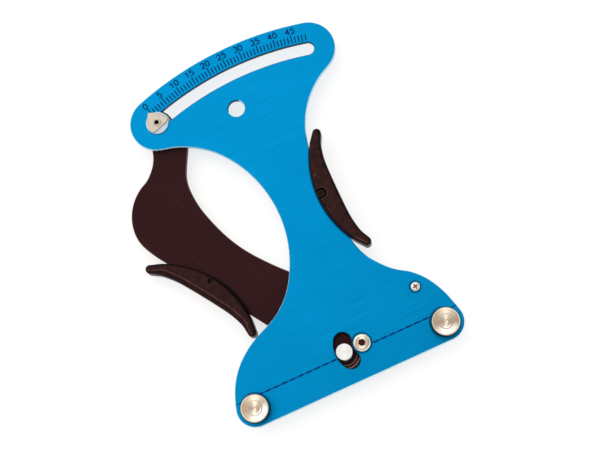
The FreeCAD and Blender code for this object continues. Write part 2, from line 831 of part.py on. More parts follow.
def lever_outline():
    """Outer edge of the lever, anticlockwise from the left of its rounded end."""
    origin = point("pivot_side", "pivot_height")
    rest = number("rest_angle")
    along, left = heading(rest), heading(rest + 90)
    reach = number("slot_radius")

    def placed(shares):
        return [(origin + (along * a + left * b) * reach, angle + rest) for a, b, angle in shares]
    tip = origin + along * reach
    end = number("lever_end_radius")
    hole = point(LEVER_GRIP_SIDE, LEVER_GRIP_HEIGHT)
    tilt = number("lever_grip_angle")
    land_foot = hole + heading(tilt + 180) * number("grip_edge_distance")
    land_top = land_foot + heading(tilt + 90) * number("lever_land_length")
    land_end = land_foot - heading(tilt + 90) * number("lever_land_length")
    pin = point(PIN_SIDE, PIN_HEIGHT)
    boss = number("lever_boss_radius")
    stud = point(STUD_SIDE, STUD_HEIGHT)
    tail = number("tail_radius")
    left_heading = number("lever_end_left_heading")
    right_heading = number("lever_end_right_heading")
    boss_heading = number("lever_boss_heading")
    tail_heading = number("tail_heading")
    stations = [(tip + heading(left_heading - 90) * end, left_heading)]
    stations += placed(LEVER_LEFT_SHARES)
    stations += [
        (land_top, tilt + 270),
        (land_end, tilt + 270),
        (pin + heading(boss_heading - 90) * boss, boss_heading),
        (Vector(pin.x, pin.y - boss, 0), 0),
        (Vector(stud.x, stud.y - tail, 0), 0),
        (stud + heading(tail_heading - 90) * tail, tail_heading),
    ]
    stations += placed(LEVER_RIGHT_SHARES)
    stations += [(tip + heading(right_heading - 90) * end, right_heading)]
    return outline(stations)


def lever_plate():
    """Lever plate with its holes."""
    body = new_body("lever_plate", level=LEVER_BACK)
    blank = drawn_sketch(body, "outline", lever_outline())
    pad(body, "blank", blank, "lever_thickness")
    for name, radius, side, height in (
        ("pivot_hole", "pivot_bush_radius + press_gap", "pivot_side", "pivot_height"),
        ("pin_hole", "pin_spigot_radius + press_gap", PIN_SIDE, PIN_HEIGHT),
        ("pointer_hole", "rivet_radius + press_gap", POINTER_SIDE, POINTER_HEIGHT),
        ("stud_hole", "stud_radius + press_gap", STUD_SIDE, STUD_HEIGHT),
        ("grip_hole", "grip_screw_radius + press_gap", LEVER_GRIP_SIDE, LEVER_GRIP_HEIGHT),
    ):
        last = pocket(body, name, hole_sketch(body, f"{name}_sketch", radius, side, height))
    break_plate_edges(body, last, "lever_thickness")
    return body


# Moving pin

def moving_pin():
    """Turned pin that presses the spoke, spigoted in the lever and tapped."""
    spigot = "(lever_thickness - post_spigot_relief)"
    body = new_body("moving_pin", PIN_SIDE, PIN_HEIGHT, f"{LEVER_FRONT} - {spigot}")
    low = f"({spigot} + lever_gap + plate_thickness + pin_groove_foot)"
    high = f"({low} + pin_groove_length)"
    top = f"({high} + pin_head_thickness)"
    turned(body, "pin", [
        ("pin_screw_radius + press_gap", "0"),
        ("pin_spigot_radius", "0"),
        ("pin_spigot_radius", spigot),
        ("pin_flange_radius", spigot),
        ("pin_flange_radius", low),
        ("pin_neck_radius", low),
        ("pin_neck_radius", high),
        ("pin_head_radius", high),
        ("pin_head_radius", f"{top} - pin_head_bevel"),
        ("pin_head_radius - pin_head_bevel", top),
        ("0", top),
        ("0", "pin_tap_depth"),
        ("pin_screw_radius + press_gap", "pin_tap_depth"),
    ])
    return body


def pin_group():
    """The pin with its washer and screw behind the lever."""
    moving_pin()
    ring("moving_pin_washer", "pin_screw_radius + press_gap", "pin_washer_radius",
         "pin_washer_thickness", PIN_SIDE, PIN_HEIGHT, f"{LEVER_BACK} - pin_washer_thickness")
    screw("moving_pin_screw", "pin_screw", PIN_SIDE, PIN_HEIGHT,
          f"({LEVER_BACK} - pin_washer_thickness)", "cross", from_behind=True)


# Pointer

def pointer():
    """Pointer plate, its tip towards the scale."""
    turn = Rotation(Vector(0, 0, 1), number("rest_angle - 90"))
    body = new_body("pointer", POINTER_SIDE, POINTER_HEIGHT,
                    f"{FACE} + glide_gap + pointer_washer_thickness", turn)
    half = number("pointer_half_width")
    corner = number("pointer_corner")
    back = -number("pointer_back")
    reach = number("pointer_reach")
    tip = number("pointer_tip_half_width")
    stations = [
        (Vector(corner - half, back, 0), 0),
        (Vector(half - corner, back, 0), 0),
        (Vector(half, back + corner, 0), POINTER_SIDE_HEADING),
        (Vector(tip, reach - tip, 0), POINTER_TIP_HEADING),
        (Vector(-tip, reach - tip, 0), 360 - POINTER_TIP_HEADING),
        (Vector(-half, back + corner, 0), 360 - POINTER_SIDE_HEADING),
    ]
    last = pad(body, "plate", drawn_sketch(body, "outline", outline(stations)), "pointer_thickness")
    top = number("pointer_thickness")
    upper = edge_names(last.Shape, lambda e: e.BoundBox.ZLength < CLOSE and abs(e.BoundBox.ZMin - top) < CLOSE)
    dress(body, "Chamfer", "edge_breaks", last, upper, "edge_break / 2")
    pocket(body, "rivet_hole", hole_sketch(body, "rivet_hole_sketch", "rivet_radius + press_gap"))
    return body


def pointer_rivet():
    """Hollow rivet: head behind the lever, rolled rim over the pointer."""
    bottom = f"({LEVER_BACK} - rivet_head_height)"
    seat = f"({FACE} + glide_gap + pointer_washer_thickness + pointer_thickness - {bottom})"
    top = f"({seat} + rivet_rim_height)"
    body = new_body("pointer_rivet", POINTER_SIDE, POINTER_HEIGHT, bottom)
    turned(body, "rivet", [
        ("0", "0"),
        ("rivet_head_radius - edge_break", "0"),
        ("rivet_head_radius", "edge_break"),
        ("rivet_head_radius", "rivet_head_height"),
        ("rivet_radius", "rivet_head_height"),
        ("rivet_radius", seat),
        ("rivet_rim_radius", seat),
        ("rivet_rim_radius", f"{seat} + rivet_rim_height / 2"),
        ("(rivet_rim_radius + rivet_bore_radius) / 2", top),
        ("rivet_bore_radius", f"{seat} + rivet_rim_height / 2"),
        ("rivet_bore_radius", "rivet_head_height + rivet_floor"),
        ("0", "rivet_head_height + rivet_floor"),
    ])
    return body


def pointer_group():
    """Pointer, washers, bush and rivet at the lever's upper end."""
    bore = "rivet_radius + press_gap"
    pointer()
    ring("pointer_washer", bore, "pointer_washer_radius", "pointer_washer_thickness",
         POINTER_SIDE, POINTER_HEIGHT, f"{FACE} + glide_gap")
    ring("pointer_bush", bore, "slot_width / 2 - bush_side_gap",
         f"{FACE} + glide_gap - {LEVER_FRONT}", POINTER_SIDE, POINTER_HEIGHT, LEVER_FRONT)
    ring("pointer_glide", "slot_width / 2 - bush_side_gap + press_gap", "pointer_glide_radius",
         "pointer_glide_thickness", POINTER_SIDE, POINTER_HEIGHT, LEVER_FRONT)
    pointer_rivet()


# Grips

def mirrored(stations):
    """The same outline upside down, still anticlockwise."""
    centre = -number("grip_screw_offset")
    return [(Vector(p.x, 2 * centre - p.y, 0), 180 - angle) for p, angle in reversed(stations)]


def grip_outline():
    """Crescent about the screw: +X towards the palm, +Y along the edge."""
    centre = -number("grip_screw_offset")
    half = number("grip_half_length")
    palm = number("grip_palm")
    bulge = number("grip_bulge")
    radius = number("grip_tip_radius")
    tip = Vector(number("grip_tip_side"), centre + half - radius, 0)
    palm_rise, palm_turn, palm_heading = GRIP_PALM_SHARES
    inner_rise, inner_turn, inner_heading = GRIP_INNER_SHARES
    palm_side = palm + (tip.x + radius - palm) * palm_turn
    inner_side = (tip.x - radius + bulge) * inner_turn - bulge
    upper = [(Vector(palm_side, centre + half * palm_rise, 0), palm_heading)]
    upper += [(tip + heading(angle - 90) * radius, angle) for angle in GRIP_TIP_HEADINGS]
    upper += [(Vector(inner_side, centre + half * inner_rise, 0), inner_heading)]
    lower = mirrored(upper)
    return outline([(Vector(palm, centre, 0), 90)] + upper + [(Vector(-bulge, centre, 0), 270)] + lower)


def grip(label, side, height, middle, flipped, tilt, held_thickness):
    """One grip moulding: rounded crescent with a slot for the plate's edge."""
    flip = Rotation(Vector(0, 1, 0), 180) if flipped else Rotation()
    turn = Rotation(Vector(0, 0, 1), number(tilt)) * flip
    body = new_body(label, side, height, middle, turn)
    blank = drawn_sketch(body, "outline", grip_outline(), level="0 - grip_thickness / 2")
    last = pad(body, "blank", blank, "grip_thickness")
    half = number("grip_thickness / 2")

    def rims(edge):
        box = edge.BoundBox
        return box.ZLength < CLOSE and abs(abs(box.ZMin) - half) < CLOSE
    dress(body, "Fillet", "soft_edges", last, edge_names(last.Shape, rims), "grip_round")
    depth = number("grip_edge_distance + grip_slot_room")
    inner = -number("grip_bulge + cut_overrun")
    reach = number("grip_half_length + grip_screw_offset")
    slot = polygon([
        Vector(inner, -reach, 0), Vector(depth, -reach, 0), Vector(depth, reach, 0), Vector(inner, reach, 0),
    ])
    slot_level = f"{held_thickness} / 2"
    pocket(body, "edge_slot", drawn_sketch(body, "slot_sketch", slot, level=slot_level), held_thickness)
    pocket(body, "screw_hole", hole_sketch(body, "screw_hole_sketch", "grip_screw_radius + press_gap"))
    recess = hole_sketch(body, "recess_sketch", "grip_recess_radius", level="grip_thickness / 2")
    pocket(body, "head_recess", recess, "grip_recess_depth")
    return body


def grip_screw(label, side, height, middle, flipped):
    """Cross-recess screw through a grip and the plate in it."""
    length = "(grip_thickness - grip_recess_depth - grip_screw_end_depth)"
    seat = "(grip_thickness / 2 - grip_recess_depth)"
    if flipped:
        body = new_body(label, side, height, f"{middle} - {seat} + {length}", Rotation(Vector(0, 1, 0), 180))
    else:
        body = new_body(label, side, height, f"{middle} + {seat} - {length}")
    top = f"({length} + grip_screw_head_height)"
    stem = turned(body, "stem", [
        ("0", "0"), ("grip_screw_radius - edge_break", "0"), ("grip_screw_radius", "edge_break"),
        ("grip_screw_radius", length), ("grip_screw_head_radius", length),
        ("grip_screw_head_radius", top), ("0", top),
    ])
    dress(body, "Fillet", "head_dome", stem, rim(stem.Shape, "grip_screw_head_radius", top), "head_round")
    cut_cross(body, top)
    return body


def grips():
    """Right grip on the frame plate, left grip turned over on the lever."""
    plate_middle = f"({FACE} - plate_thickness / 2)"
    lever_middle = f"({LEVER_FRONT} - lever_thickness / 2)"
    grip("grip_right", "plate_grip_side", "plate_grip_height", plate_middle, False, "0",
         "plate_thickness")
    grip_screw("grip_screw_right", "plate_grip_side", "plate_grip_height", plate_middle, False)
    grip("grip_left", LEVER_GRIP_SIDE, LEVER_GRIP_HEIGHT, lever_middle, True,
         "lever_grip_angle", "lever_thickness")
    grip_screw("grip_screw_left", LEVER_GRIP_SIDE, LEVER_GRIP_HEIGHT, lever_middle, True)


# Return spring

def spring_anchors():
    """Post on the plate with its screw, and the stud on the lever's tail."""
    bottom = f"({SPRING_LEVEL} - groove_length / 2 - stud_head_height)"
    post_length = f"({PLATE_BACK} - {bottom})"
    body = new_body("spring_anchor_post", ANCHOR_SIDE, ANCHOR_HEIGHT, bottom)
    turned(body, "post", [
        ("0", "0"),
        ("anchor_radius", "0"),
        ("anchor_radius", "stud_head_height"),
        ("groove_radius", "stud_head_height"),
        ("groove_radius", "stud_head_height + groove_length"),
        ("anchor_radius", "stud_head_height + groove_length"),
        ("anchor_radius", post_length),
        ("anchor_screw_radius + press_gap", post_length),
        ("anchor_screw_radius + press_gap", f"{post_length} - anchor_tap_depth"),
        ("0", f"{post_length} - anchor_tap_depth"),
    ])
    screw("spring_anchor_screw", "anchor_screw", ANCHOR_SIDE, ANCHOR_HEIGHT, FACE, "cross",
          quarter_turn=12)
    body = new_body("spring_stud", STUD_SIDE, STUD_HEIGHT, bottom)
    collar = "(stud_head_height + groove_length)"
    flange = f"({collar} + stud_collar_height)"
    turned(body, "stud", [
        ("0", "0"),
        ("stud_collar_radius", "0"),
        ("stud_collar_radius", "stud_head_height"),
        ("groove_radius", "stud_head_height"),
        ("groove_radius", collar),
        ("stud_collar_radius", collar),
        ("stud_collar_radius", flange),
        ("stud_radius", flange),
        ("stud_radius", f"{flange} + lever_thickness"),
        ("0", f"{flange} + lever_thickness"),
    ])


def spring_stations():
    """Wire stations from the stud's loop through the coil to the anchor's loop.

    Each is a point and a direction in the spring's own frame: X from stud to
    anchor, Z out of the plates, the stud at zero.
    """
    span = (point(ANCHOR_SIDE, ANCHOR_HEIGHT) - point(STUD_SIDE, STUD_HEIGHT)).Length
    loop = number("groove_radius + spring_loop_gap + spring_wire_diameter / 2")
    coil = number("spring_coil_radius")
    lead = number("spring_lead_length")
    turns = int(number("spring_turns"))
    pitch = (span - 2 * lead) / turns
    opening = number("spring_loop_open_angle")
    rise = number("spring_loop_rise_angle")
    near_end = [(heading(angle) * loop, heading(angle + 90)) for angle in (opening, (opening + 270) / 2, 270)]
    flat_end = heading(270) * loop + heading(rise / 2) * loop
    near_end.append((flat_end, heading(rise)))
    coils = []
    for quarter in range(4 * turns + 1):
        turn = math.pi / 2 * quarter
        place = Vector(lead + pitch * quarter / 4, coil * math.sin(turn), coil * math.cos(turn))
        course = Vector(pitch / (2 * math.pi), coil * math.cos(turn), -coil * math.sin(turn))
        coils.append((place, course.normalize()))
    far_end = [(Vector(span - p.x, -p.y, p.z), Vector(d.x, d.y, -d.z)) for p, d in reversed(near_end)]
    return near_end + coils + far_end


def spring_edges(stations):
    """Tangent arcs through the stations."""
    edges = []
    for (start, leaving), (end, arriving) in zip(stations, stations[1:]):
        joint = biarc_joint(start, leaving, end, arriving)
        first = arc_middle(start, leaving, joint)
        second = arc_middle(end, arriving * -1, joint)
        edges.append(Part.Arc(start, first, joint).toShape())
        edges.append(Part.Arc(joint, second, end).toShape())
    return edges


def least_gap(edges, wire):
    """Smallest space between stretches of the wire that aren't neighbours."""
    points = []
    run = 0
    for edge in edges:
        for place in edge.discretize(7)[:-1]:
            if points:
                run += (place - points[-1][1]).Length
            points.append((run, place))
    apart = 4 * wire
    gaps = [
        (b[1] - a[1]).Length - wire
        for i, a in enumerate(points) for b in points[i + 1:] if b[0] - a[0] > apart
    ]
    return min(gaps)


def return_spring():
    """Extension spring as one unbroken tube."""
    wire = number("spring_wire_diameter")
    edges = spring_edges(spring_stations())
    path = Part.Wire(edges)
    radii = [edge.Curve.Radius for edge in edges]
    print(f"spring: least gap {least_gap(edges, wire):.2f} mm, tightest bend {min(radii):.2f} mm,"
          f" length {path.Length:.1f} mm")
    start = edges[0].valueAt(edges[0].FirstParameter)
    section = Part.Wire(Part.Circle(start, edges[0].tangentAt(edges[0].FirstParameter), wire / 2).toShape())
    sweep = Part.BRepOffsetAPI.MakePipeShell(path)
    sweep.add(section)
    sweep.build()
    sweep.makeSolid()
    stud = point(STUD_SIDE, STUD_HEIGHT)
    anchor = point(ANCHOR_SIDE, ANCHOR_HEIGHT)
    lean = math.degrees(math.atan2(anchor.y - stud.y, anchor.x - stud.x))
    spring = doc.addObject("Part::Feature", "return_spring")
    spring.Label = "return_spring"
    spring.Shape = sweep.shape()
    spring.Placement = Placement(
        Vector(stud.x, stud.y, number(SPRING_LEVEL)), Rotation(Vector(0, 0, 1), lean))
    print(f"spring: volume {spring.Shape.Volume:.2f}, section times length"
          f" {math.pi * wire * wire / 4 * path.Length:.2f}")
    return spring


# Checks and files

def write_parts():
    """Checks every object, then writes one file per sub-part."""
    doc.recompute()
    for item in doc.Objects:
        if any(state in item.State for state in ("Invalid", "Error")):
            raise RuntimeError(f"{item.Label} failed: {item.State}")
    nodes = [item for item in doc.Objects if item.TypeId == "PartDesign::Body"]
    nodes += [item for item in doc.Objects if item.TypeId == "Part::Feature"]
    for node in nodes:
        shape = node.Shape
        if shape.isNull() or not shape.isValid() or not shape.Solids:
            raise RuntimeError(f"{node.Label}: bad shape")
    os.makedirs(NODE_FOLDER, exist_ok=True)
    for node in nodes:
        node.Shape.exportStep(os.path.join(NODE_FOLDER, f"{node.Label}.step"))
        print(f"{node.Label}: {len(node.Shape.Solids)} solid, {node.Shape.Volume:.1f} mm3")


front_plate()
posts()
pivot()
lever_plate()
pin_group()
pointer_group()
grips()
spring_anchors()
return_spring()
write_parts()
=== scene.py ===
import math

import bmesh
import bpy
from mathutils import Matrix, Vector


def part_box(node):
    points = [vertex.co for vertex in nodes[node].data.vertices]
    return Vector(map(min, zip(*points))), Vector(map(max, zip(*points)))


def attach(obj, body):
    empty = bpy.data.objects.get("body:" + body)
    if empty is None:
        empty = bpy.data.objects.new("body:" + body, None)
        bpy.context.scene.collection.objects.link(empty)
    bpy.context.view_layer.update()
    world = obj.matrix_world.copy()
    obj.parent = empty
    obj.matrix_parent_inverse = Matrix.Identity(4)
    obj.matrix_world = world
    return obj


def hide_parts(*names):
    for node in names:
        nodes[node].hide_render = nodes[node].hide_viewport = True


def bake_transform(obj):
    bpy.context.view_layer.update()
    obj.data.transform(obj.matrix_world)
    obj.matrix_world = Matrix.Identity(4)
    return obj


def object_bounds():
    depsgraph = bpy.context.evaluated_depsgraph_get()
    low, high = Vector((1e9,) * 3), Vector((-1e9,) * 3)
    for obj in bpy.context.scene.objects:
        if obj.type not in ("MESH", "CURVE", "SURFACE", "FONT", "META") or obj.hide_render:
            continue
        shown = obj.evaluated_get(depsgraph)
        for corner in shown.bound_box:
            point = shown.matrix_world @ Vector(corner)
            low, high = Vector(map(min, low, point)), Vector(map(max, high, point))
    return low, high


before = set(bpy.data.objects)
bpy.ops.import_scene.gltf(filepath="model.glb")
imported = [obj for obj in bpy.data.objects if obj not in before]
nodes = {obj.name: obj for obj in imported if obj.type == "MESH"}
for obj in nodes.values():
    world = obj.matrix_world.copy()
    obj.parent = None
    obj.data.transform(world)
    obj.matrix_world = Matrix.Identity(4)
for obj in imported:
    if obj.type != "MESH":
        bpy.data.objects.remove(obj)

# Dressing of the spoke tension meter. Metres, in the row's frame: the origin is on
# the axis of a clamped spoke, +X along the spoke, +Y up to the scale, +Z to the front.

cad_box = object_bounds()
MM = 0.001

# Places and levels that the source also has
PIVOT = Vector((12.0, 2.6, 0)) * MM
FACE_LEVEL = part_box("front_plate")[1].z
STUD = Vector((30.0, -3.0, 0)) * MM
ANCHOR = Vector((56.1, 20.5, 0)) * MM
SPRING_LEVEL = -14.7 * MM
HANGING_HOLE = Vector((1.05, 173.6, 0)) * MM


def centre_of(node):
    """Middle of a CAD node's box."""
    low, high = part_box(node)
    return (low + high) / 2


def top_of(node):
    """Highest level of a CAD node."""
    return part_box(node)[1].z


def heading(degrees):
    """Unit vector in the plane of the plates at an angle from +X."""
    return Vector((math.cos(math.radians(degrees)), math.sin(math.radians(degrees)), 0))


def scaled(color, factor):
    """A colour made darker or brighter, held at white."""
    return tuple(min(1, c * factor) for c in color)


def even(size):
    """One size along every axis."""
    return (size, size, size)


def new_node(tree, kind, inputs=None, **settings):
    """A shader node with its settings, and its inputs as values or links."""
    made = tree.nodes.new(kind)
    for name, value in settings.items():
        setattr(made, name, value)
    for name, value in (inputs or {}).items():
        if isinstance(value, bpy.types.NodeSocket):
            tree.links.new(value, made.inputs[name])
        else:
            made.inputs[name].default_value = value
    return made


# Materials

SIDE_SOFTNESS = 0.1 * MM
TURN_SOFTNESS = 0.005


class Finish:
    """A node material around one Principled shader, read in the object's own metres."""

    def __init__(self, name, color, metallic, roughness, specular=0.5):
        self.material = bpy.data.materials.new(name)
        self.material.use_nodes = True
        self.material.diffuse_color = (*color, 1)
        self.tree = self.material.node_tree
        self.shader = self.tree.nodes["Principled BSDF"]
        self.shader.inputs["Metallic"].default_value = metallic
        self.shader.inputs["Roughness"].default_value = roughness
        self.shader.inputs["Base Color"].default_value = (*color, 1)
        self.shader.inputs["Specular IOR Level"].default_value = specular
        self.coordinates = self.node("ShaderNodeTexCoord").outputs["Object"]

    def node(self, kind, inputs=None, **settings):
        """A node in this material."""
        return new_node(self.tree, kind, inputs, **settings)

    def place(self, size=(1, 1, 1), turn=0.0, centre=(0, 0, 0)):
        """Coordinates about a centre, counted in sizes along each axis, in metres."""
        moved = self.node("ShaderNodeVectorMath", {0: self.coordinates, 1: centre}, operation="SUBTRACT")
        turned = self.node("ShaderNodeVectorRotate", {"Vector": moved.outputs[0], "Angle": -turn},
                           rotation_type="Z_AXIS")
        return self.node("ShaderNodeVectorMath", {0: turned.outputs[0], 1: size},
                         operation="DIVIDE").outputs[0]

    def noise(self, size, detail=4.0, turn=0.0):
        """Noise whose blotches have a size along each axis, in metres."""
        made = self.node("ShaderNodeTexNoise", {
            "Vector": self.place(size, turn), "Scale": 1.0, "Detail": detail, "Roughness": 0.55})
        return made.outputs["Fac"]

    def calculate(self, operation, a, b=0.0):
        """One calculation with two values or sockets."""
        return self.node("ShaderNodeMath", {0: a, 1: b}, operation=operation).outputs[0]

    def times(self, a, b):
        """Product of two values."""
        return self.calculate("MULTIPLY", a, b)

    def plus(self, a, b):
        """Sum of two values."""
        return self.calculate("ADD", a, b)

    def fit(self, value, low, high, to_low=0.0, to_high=1.0):
        """A value's span moved to another span, and held in it."""
        return self.node("ShaderNodeMapRange", {
            "Value": value, "From Min": low, "From Max": high, "To Min": to_low, "To Max": to_high,
        }).outputs["Result"]

    def band(self, value, low, high, soft):
        """1 where a value lies between two bounds, with soft sides."""
        return self.times(self.fit(value, low - soft, low + soft), self.fit(value, high + soft, high - soft))

    def mix(self, share, a, b):
        """Two colours mixed by a share."""
        made = self.node("ShaderNodeMix", data_type="RGBA")
        for name, value in (("Factor", share), ("A", a), ("B", b)):
            socket = [s for s in made.inputs if s.name == name and s.enabled][0]
            if isinstance(value, bpy.types.NodeSocket):
                self.tree.links.new(value, socket)
            elif name == "Factor":
                socket.default_value = value
            else:
                socket.default_value = (*value, 1)
        return [s for s in made.outputs if s.enabled][0]

    def normal(self):
        """Parts of the surface's direction."""
        normal = self.node("ShaderNodeNewGeometry").outputs["Normal"]
        return self.node("ShaderNodeSeparateXYZ", {"Vector": normal}).outputs

    def slope(self):
        """How far the surface faces up or down, 0 on side walls and 1 on flat faces."""
        return self.calculate("ABSOLUTE", self.normal()["Z"])

    def towards(self, turned, degrees, low, high):
        """1 where an angle is near one heading, 0 where it is far from it."""
        away = self.calculate("SUBTRACT", turned, math.radians(degrees))
        return self.fit(self.calculate("COSINE", away), low, high)

    def facing(self, degrees, low, high):
        """1 where the surface leans towards one heading, 0 where it leans away from it."""
        parts = self.normal()
        return self.towards(self.calculate("ARCTAN2", parts["Y"], parts["X"]), degrees, low, high)

    def lobe(self, centre, degrees, low, high):
        """1 towards one heading about an upright axis, 0 away from it."""
        return self.towards(self.angle(centre), degrees, low, high)

    def angle(self, centre):
        """Heading from an upright axis, in radians from +X."""
        parts = self.node("ShaderNodeSeparateXYZ", {"Vector": self.place(centre=centre)}).outputs
        return self.calculate("ARCTAN2", parts["Y"], parts["X"])

    def distance(self, centre):
        """Distance from an upright axis, in metres."""
        parts = self.node("ShaderNodeSeparateXYZ", {"Vector": self.place(centre=centre)}).outputs
        flat = self.node("ShaderNodeCombineXYZ", {"X": parts["X"], "Y": parts["Y"]})
        return self.node("ShaderNodeVectorMath", {0: flat.outputs[0]}, operation="LENGTH").outputs["Value"]

    def height(self):
        """Level above the spoke's axis, in metres."""
        return self.node("ShaderNodeSeparateXYZ", {"Vector": self.coordinates}).outputs["Z"]

    def ring_part(self, centre, near, far, start, stop):
        """1 in a part of a ring about an upright axis, between two radii and two headings in degrees."""
        ring = self.band(self.distance(centre), near, far, SIDE_SOFTNESS)
        sector = self.band(self.angle(centre), math.radians(start), math.radians(stop), TURN_SOFTNESS)
        return self.times(ring, sector)

    def hollow(self, tone, centre, radius, level, color):
        """A recess about an upright axis, painted in shade below a level."""
        inside = self.fit(self.distance(centre), radius + SIDE_SOFTNESS, radius)
        below = self.fit(self.height(), level + SIDE_SOFTNESS / 2, level - SIDE_SOFTNESS)
        return self.mix(self.times(inside, below), tone, color)

    def scratches(self, size, turn, low=0.70, high=0.78):
        """Sparse fine scratches along a direction, 0 to 1."""
        long, fine = size
        lines = self.noise((long, fine, fine), 2.0, turn)
        patches = self.noise(even(long * 2), 1.0)
        return self.times(self.fit(lines, low, high), self.fit(patches, 0.5, 0.6))

    def color(self, socket):
        """Links the surface's colour."""
        self.tree.links.new(socket, self.shader.inputs["Base Color"])

    def rough(self, socket):
        """Links the surface's roughness."""
        self.tree.links.new(socket, self.shader.inputs["Roughness"])

    def bump(self, height, depth, strength):
        """Relief of a depth in metres."""
        made = self.node("ShaderNodeBump", {"Height": height, "Distance": depth, "Strength": strength})
        self.tree.links.new(made.outputs["Normal"], self.shader.inputs["Normal"])


# Grain of the plates, the rings of the lever's spot face with their painted glints, and the painted shade on
# the
# front faces: its share, the depths between which it ends, and the reach of a ring beyond what it goes round
BRUSH_SIZE = (32 * MM, 0.45 * MM, 4 * MM)
PLATE_CLOUD = 45 * MM
PLATE_GRAIN_SIZE = (0.35 * MM, 0.3 * MM, 0.3 * MM)
PLATE_SCRATCH = (9 * MM, 0.12 * MM)
SPOT_GLINT_RINGS = ((7.0 * MM, 7.5 * MM), (8.7 * MM, 9.6 * MM))
SPOT_GLINT_HEADING = -84.0
PAINTED_SHADE_SHARE = 0.8
PAINTED_SHADE_DEPTHS = (0.4 * MM, 0.2 * MM)
PAINTED_SHADE_REACH = (1.3 * MM, 0.4 * MM)
MARK_SOFTNESS = 0.15 * MM


def brushed_plate(name, color, edge_highlight_color, painted_wall_color, wear_color, metallic, roughness, turn, streak, grain,
                  level, grip_shadow, spot=None, seat_shade_rings=(), dark_walls=()):
    """Anodised plate: brushed streaks, faint clouds and fine scratches, with a painted highlight on the
    broken edges and painted light and shade on the side walls.

    streak and grain are their contrast, level is the front face's, contact is a painted shadow
    along a grip, spot is the middle of the rings of a spot face, which get painted glints, seats are
    rings of painted shade about screws and posts, and dark_walls are the parts of inner walls that no
    light reaches, painted in shade.
    """
    finish = Finish(name, color, metallic, roughness, specular=0.1)
    streaks = finish.noise(BRUSH_SIZE, 6.0, turn)
    clouds = finish.noise(even(PLATE_CLOUD), 3.0)
    grains = finish.noise(PLATE_GRAIN_SIZE, 2.0)
    light = tuple(c * (1 + streak) + streak * 0.004 for c in color)
    tone = finish.mix(finish.fit(streaks, 0.3, 0.7), scaled(color, 1 - streak), light)
    tone = finish.mix(finish.fit(clouds, 0.35, 0.65, 0.0, 0.6), tone, scaled(color, 1 - streak * 0.4))
    tone = finish.mix(finish.fit(grains, 0.45, 0.8, 0.0, grain), tone, scaled(color, 0.72))
    worn = finish.scratches(PLATE_SCRATCH, turn + 0.5)
    tone = finish.mix(finish.times(worn, 0.25), tone, wear_color)
    # Painted glints on the spot face's rings, in the edge highlight colour, on one side of the pin only
    if spot:
        reach = finish.distance(spot)
        glints = [finish.band(reach, near, far, MARK_SOFTNESS) for near, far in SPOT_GLINT_RINGS]
        glint = finish.times(finish.plus(*glints), finish.lobe(spot, SPOT_GLINT_HEADING, 0.2, 0.8))
        tone = finish.mix(finish.times(glint, 0.9), tone, edge_highlight_color)
    # Painted shade on the front face only: a shadow along a grip, and rings about what stands on the face
    deep, shallow = PAINTED_SHADE_DEPTHS
    front = finish.fit(finish.height(), level - deep, level - shallow, 0.0, PAINTED_SHADE_SHARE)
    centre, near, far, toward, low, high = grip_shadow
    grip_shadow_band = finish.times(finish.band(finish.distance(centre), near, far, MARK_SOFTNESS),
                       finish.lobe(centre, toward, low, high))
    tone = finish.mix(finish.times(grip_shadow_band, front), tone, scaled(color, 0.1))
    outer, inner = PAINTED_SHADE_REACH
    for seat, radius in seat_shade_rings:
        ring = finish.fit(finish.distance(seat), radius + outer, radius + inner)
        tone = finish.mix(finish.times(ring, front), tone, scaled(color, 0.1))
    # Side walls in painted_wall_color, painted light on the blue plate and painted shade on the lever, with
    # painted shade on walls and edges in dark_walls
    slope = finish.slope()
    wall = painted_wall_color
    edge = edge_highlight_color
    for part in dark_walls:
        inside = finish.ring_part(*part)
        wall = finish.mix(inside, wall, scaled(color, 0.12))
        edge = finish.mix(inside, edge, scaled(color, 0.2))
    tone = finish.mix(finish.fit(slope, 0.5, 0.2), tone, wall)
    # Painted highlight on the broken edges
    broken = finish.times(finish.fit(slope, 0.35, 0.55), finish.fit(slope, 0.97, 0.85))
    tone = finish.mix(finish.times(broken, finish.fit(clouds, 0.3, 0.6, 0.6, 0.95)), tone, edge)
    finish.color(tone)
    finish.rough(finish.plus(finish.fit(streaks, 0.25, 0.75, roughness - 0.06, roughness + 0.08),
                             finish.fit(grains, 0.4, 0.7, 0.0, 0.05)))
    finish.bump(finish.plus(streaks, finish.times(grains, 0.5)), 0.02 * MM, 0.6)
    return finish.material


# Grain of turned metal, its light and dark sectors of painted reflection, and the painted glint on one side
# of a ring
TURNED_CLOUD = 3 * MM
TURNED_GRAIN = 0.2 * MM
TURNED_SCRATCH = (4 * MM, 0.1 * MM)
SECTOR_COUNT = 2.0
SECTOR_TURN = 2.4
GLINT = (0.95, 0.92, 0.86)


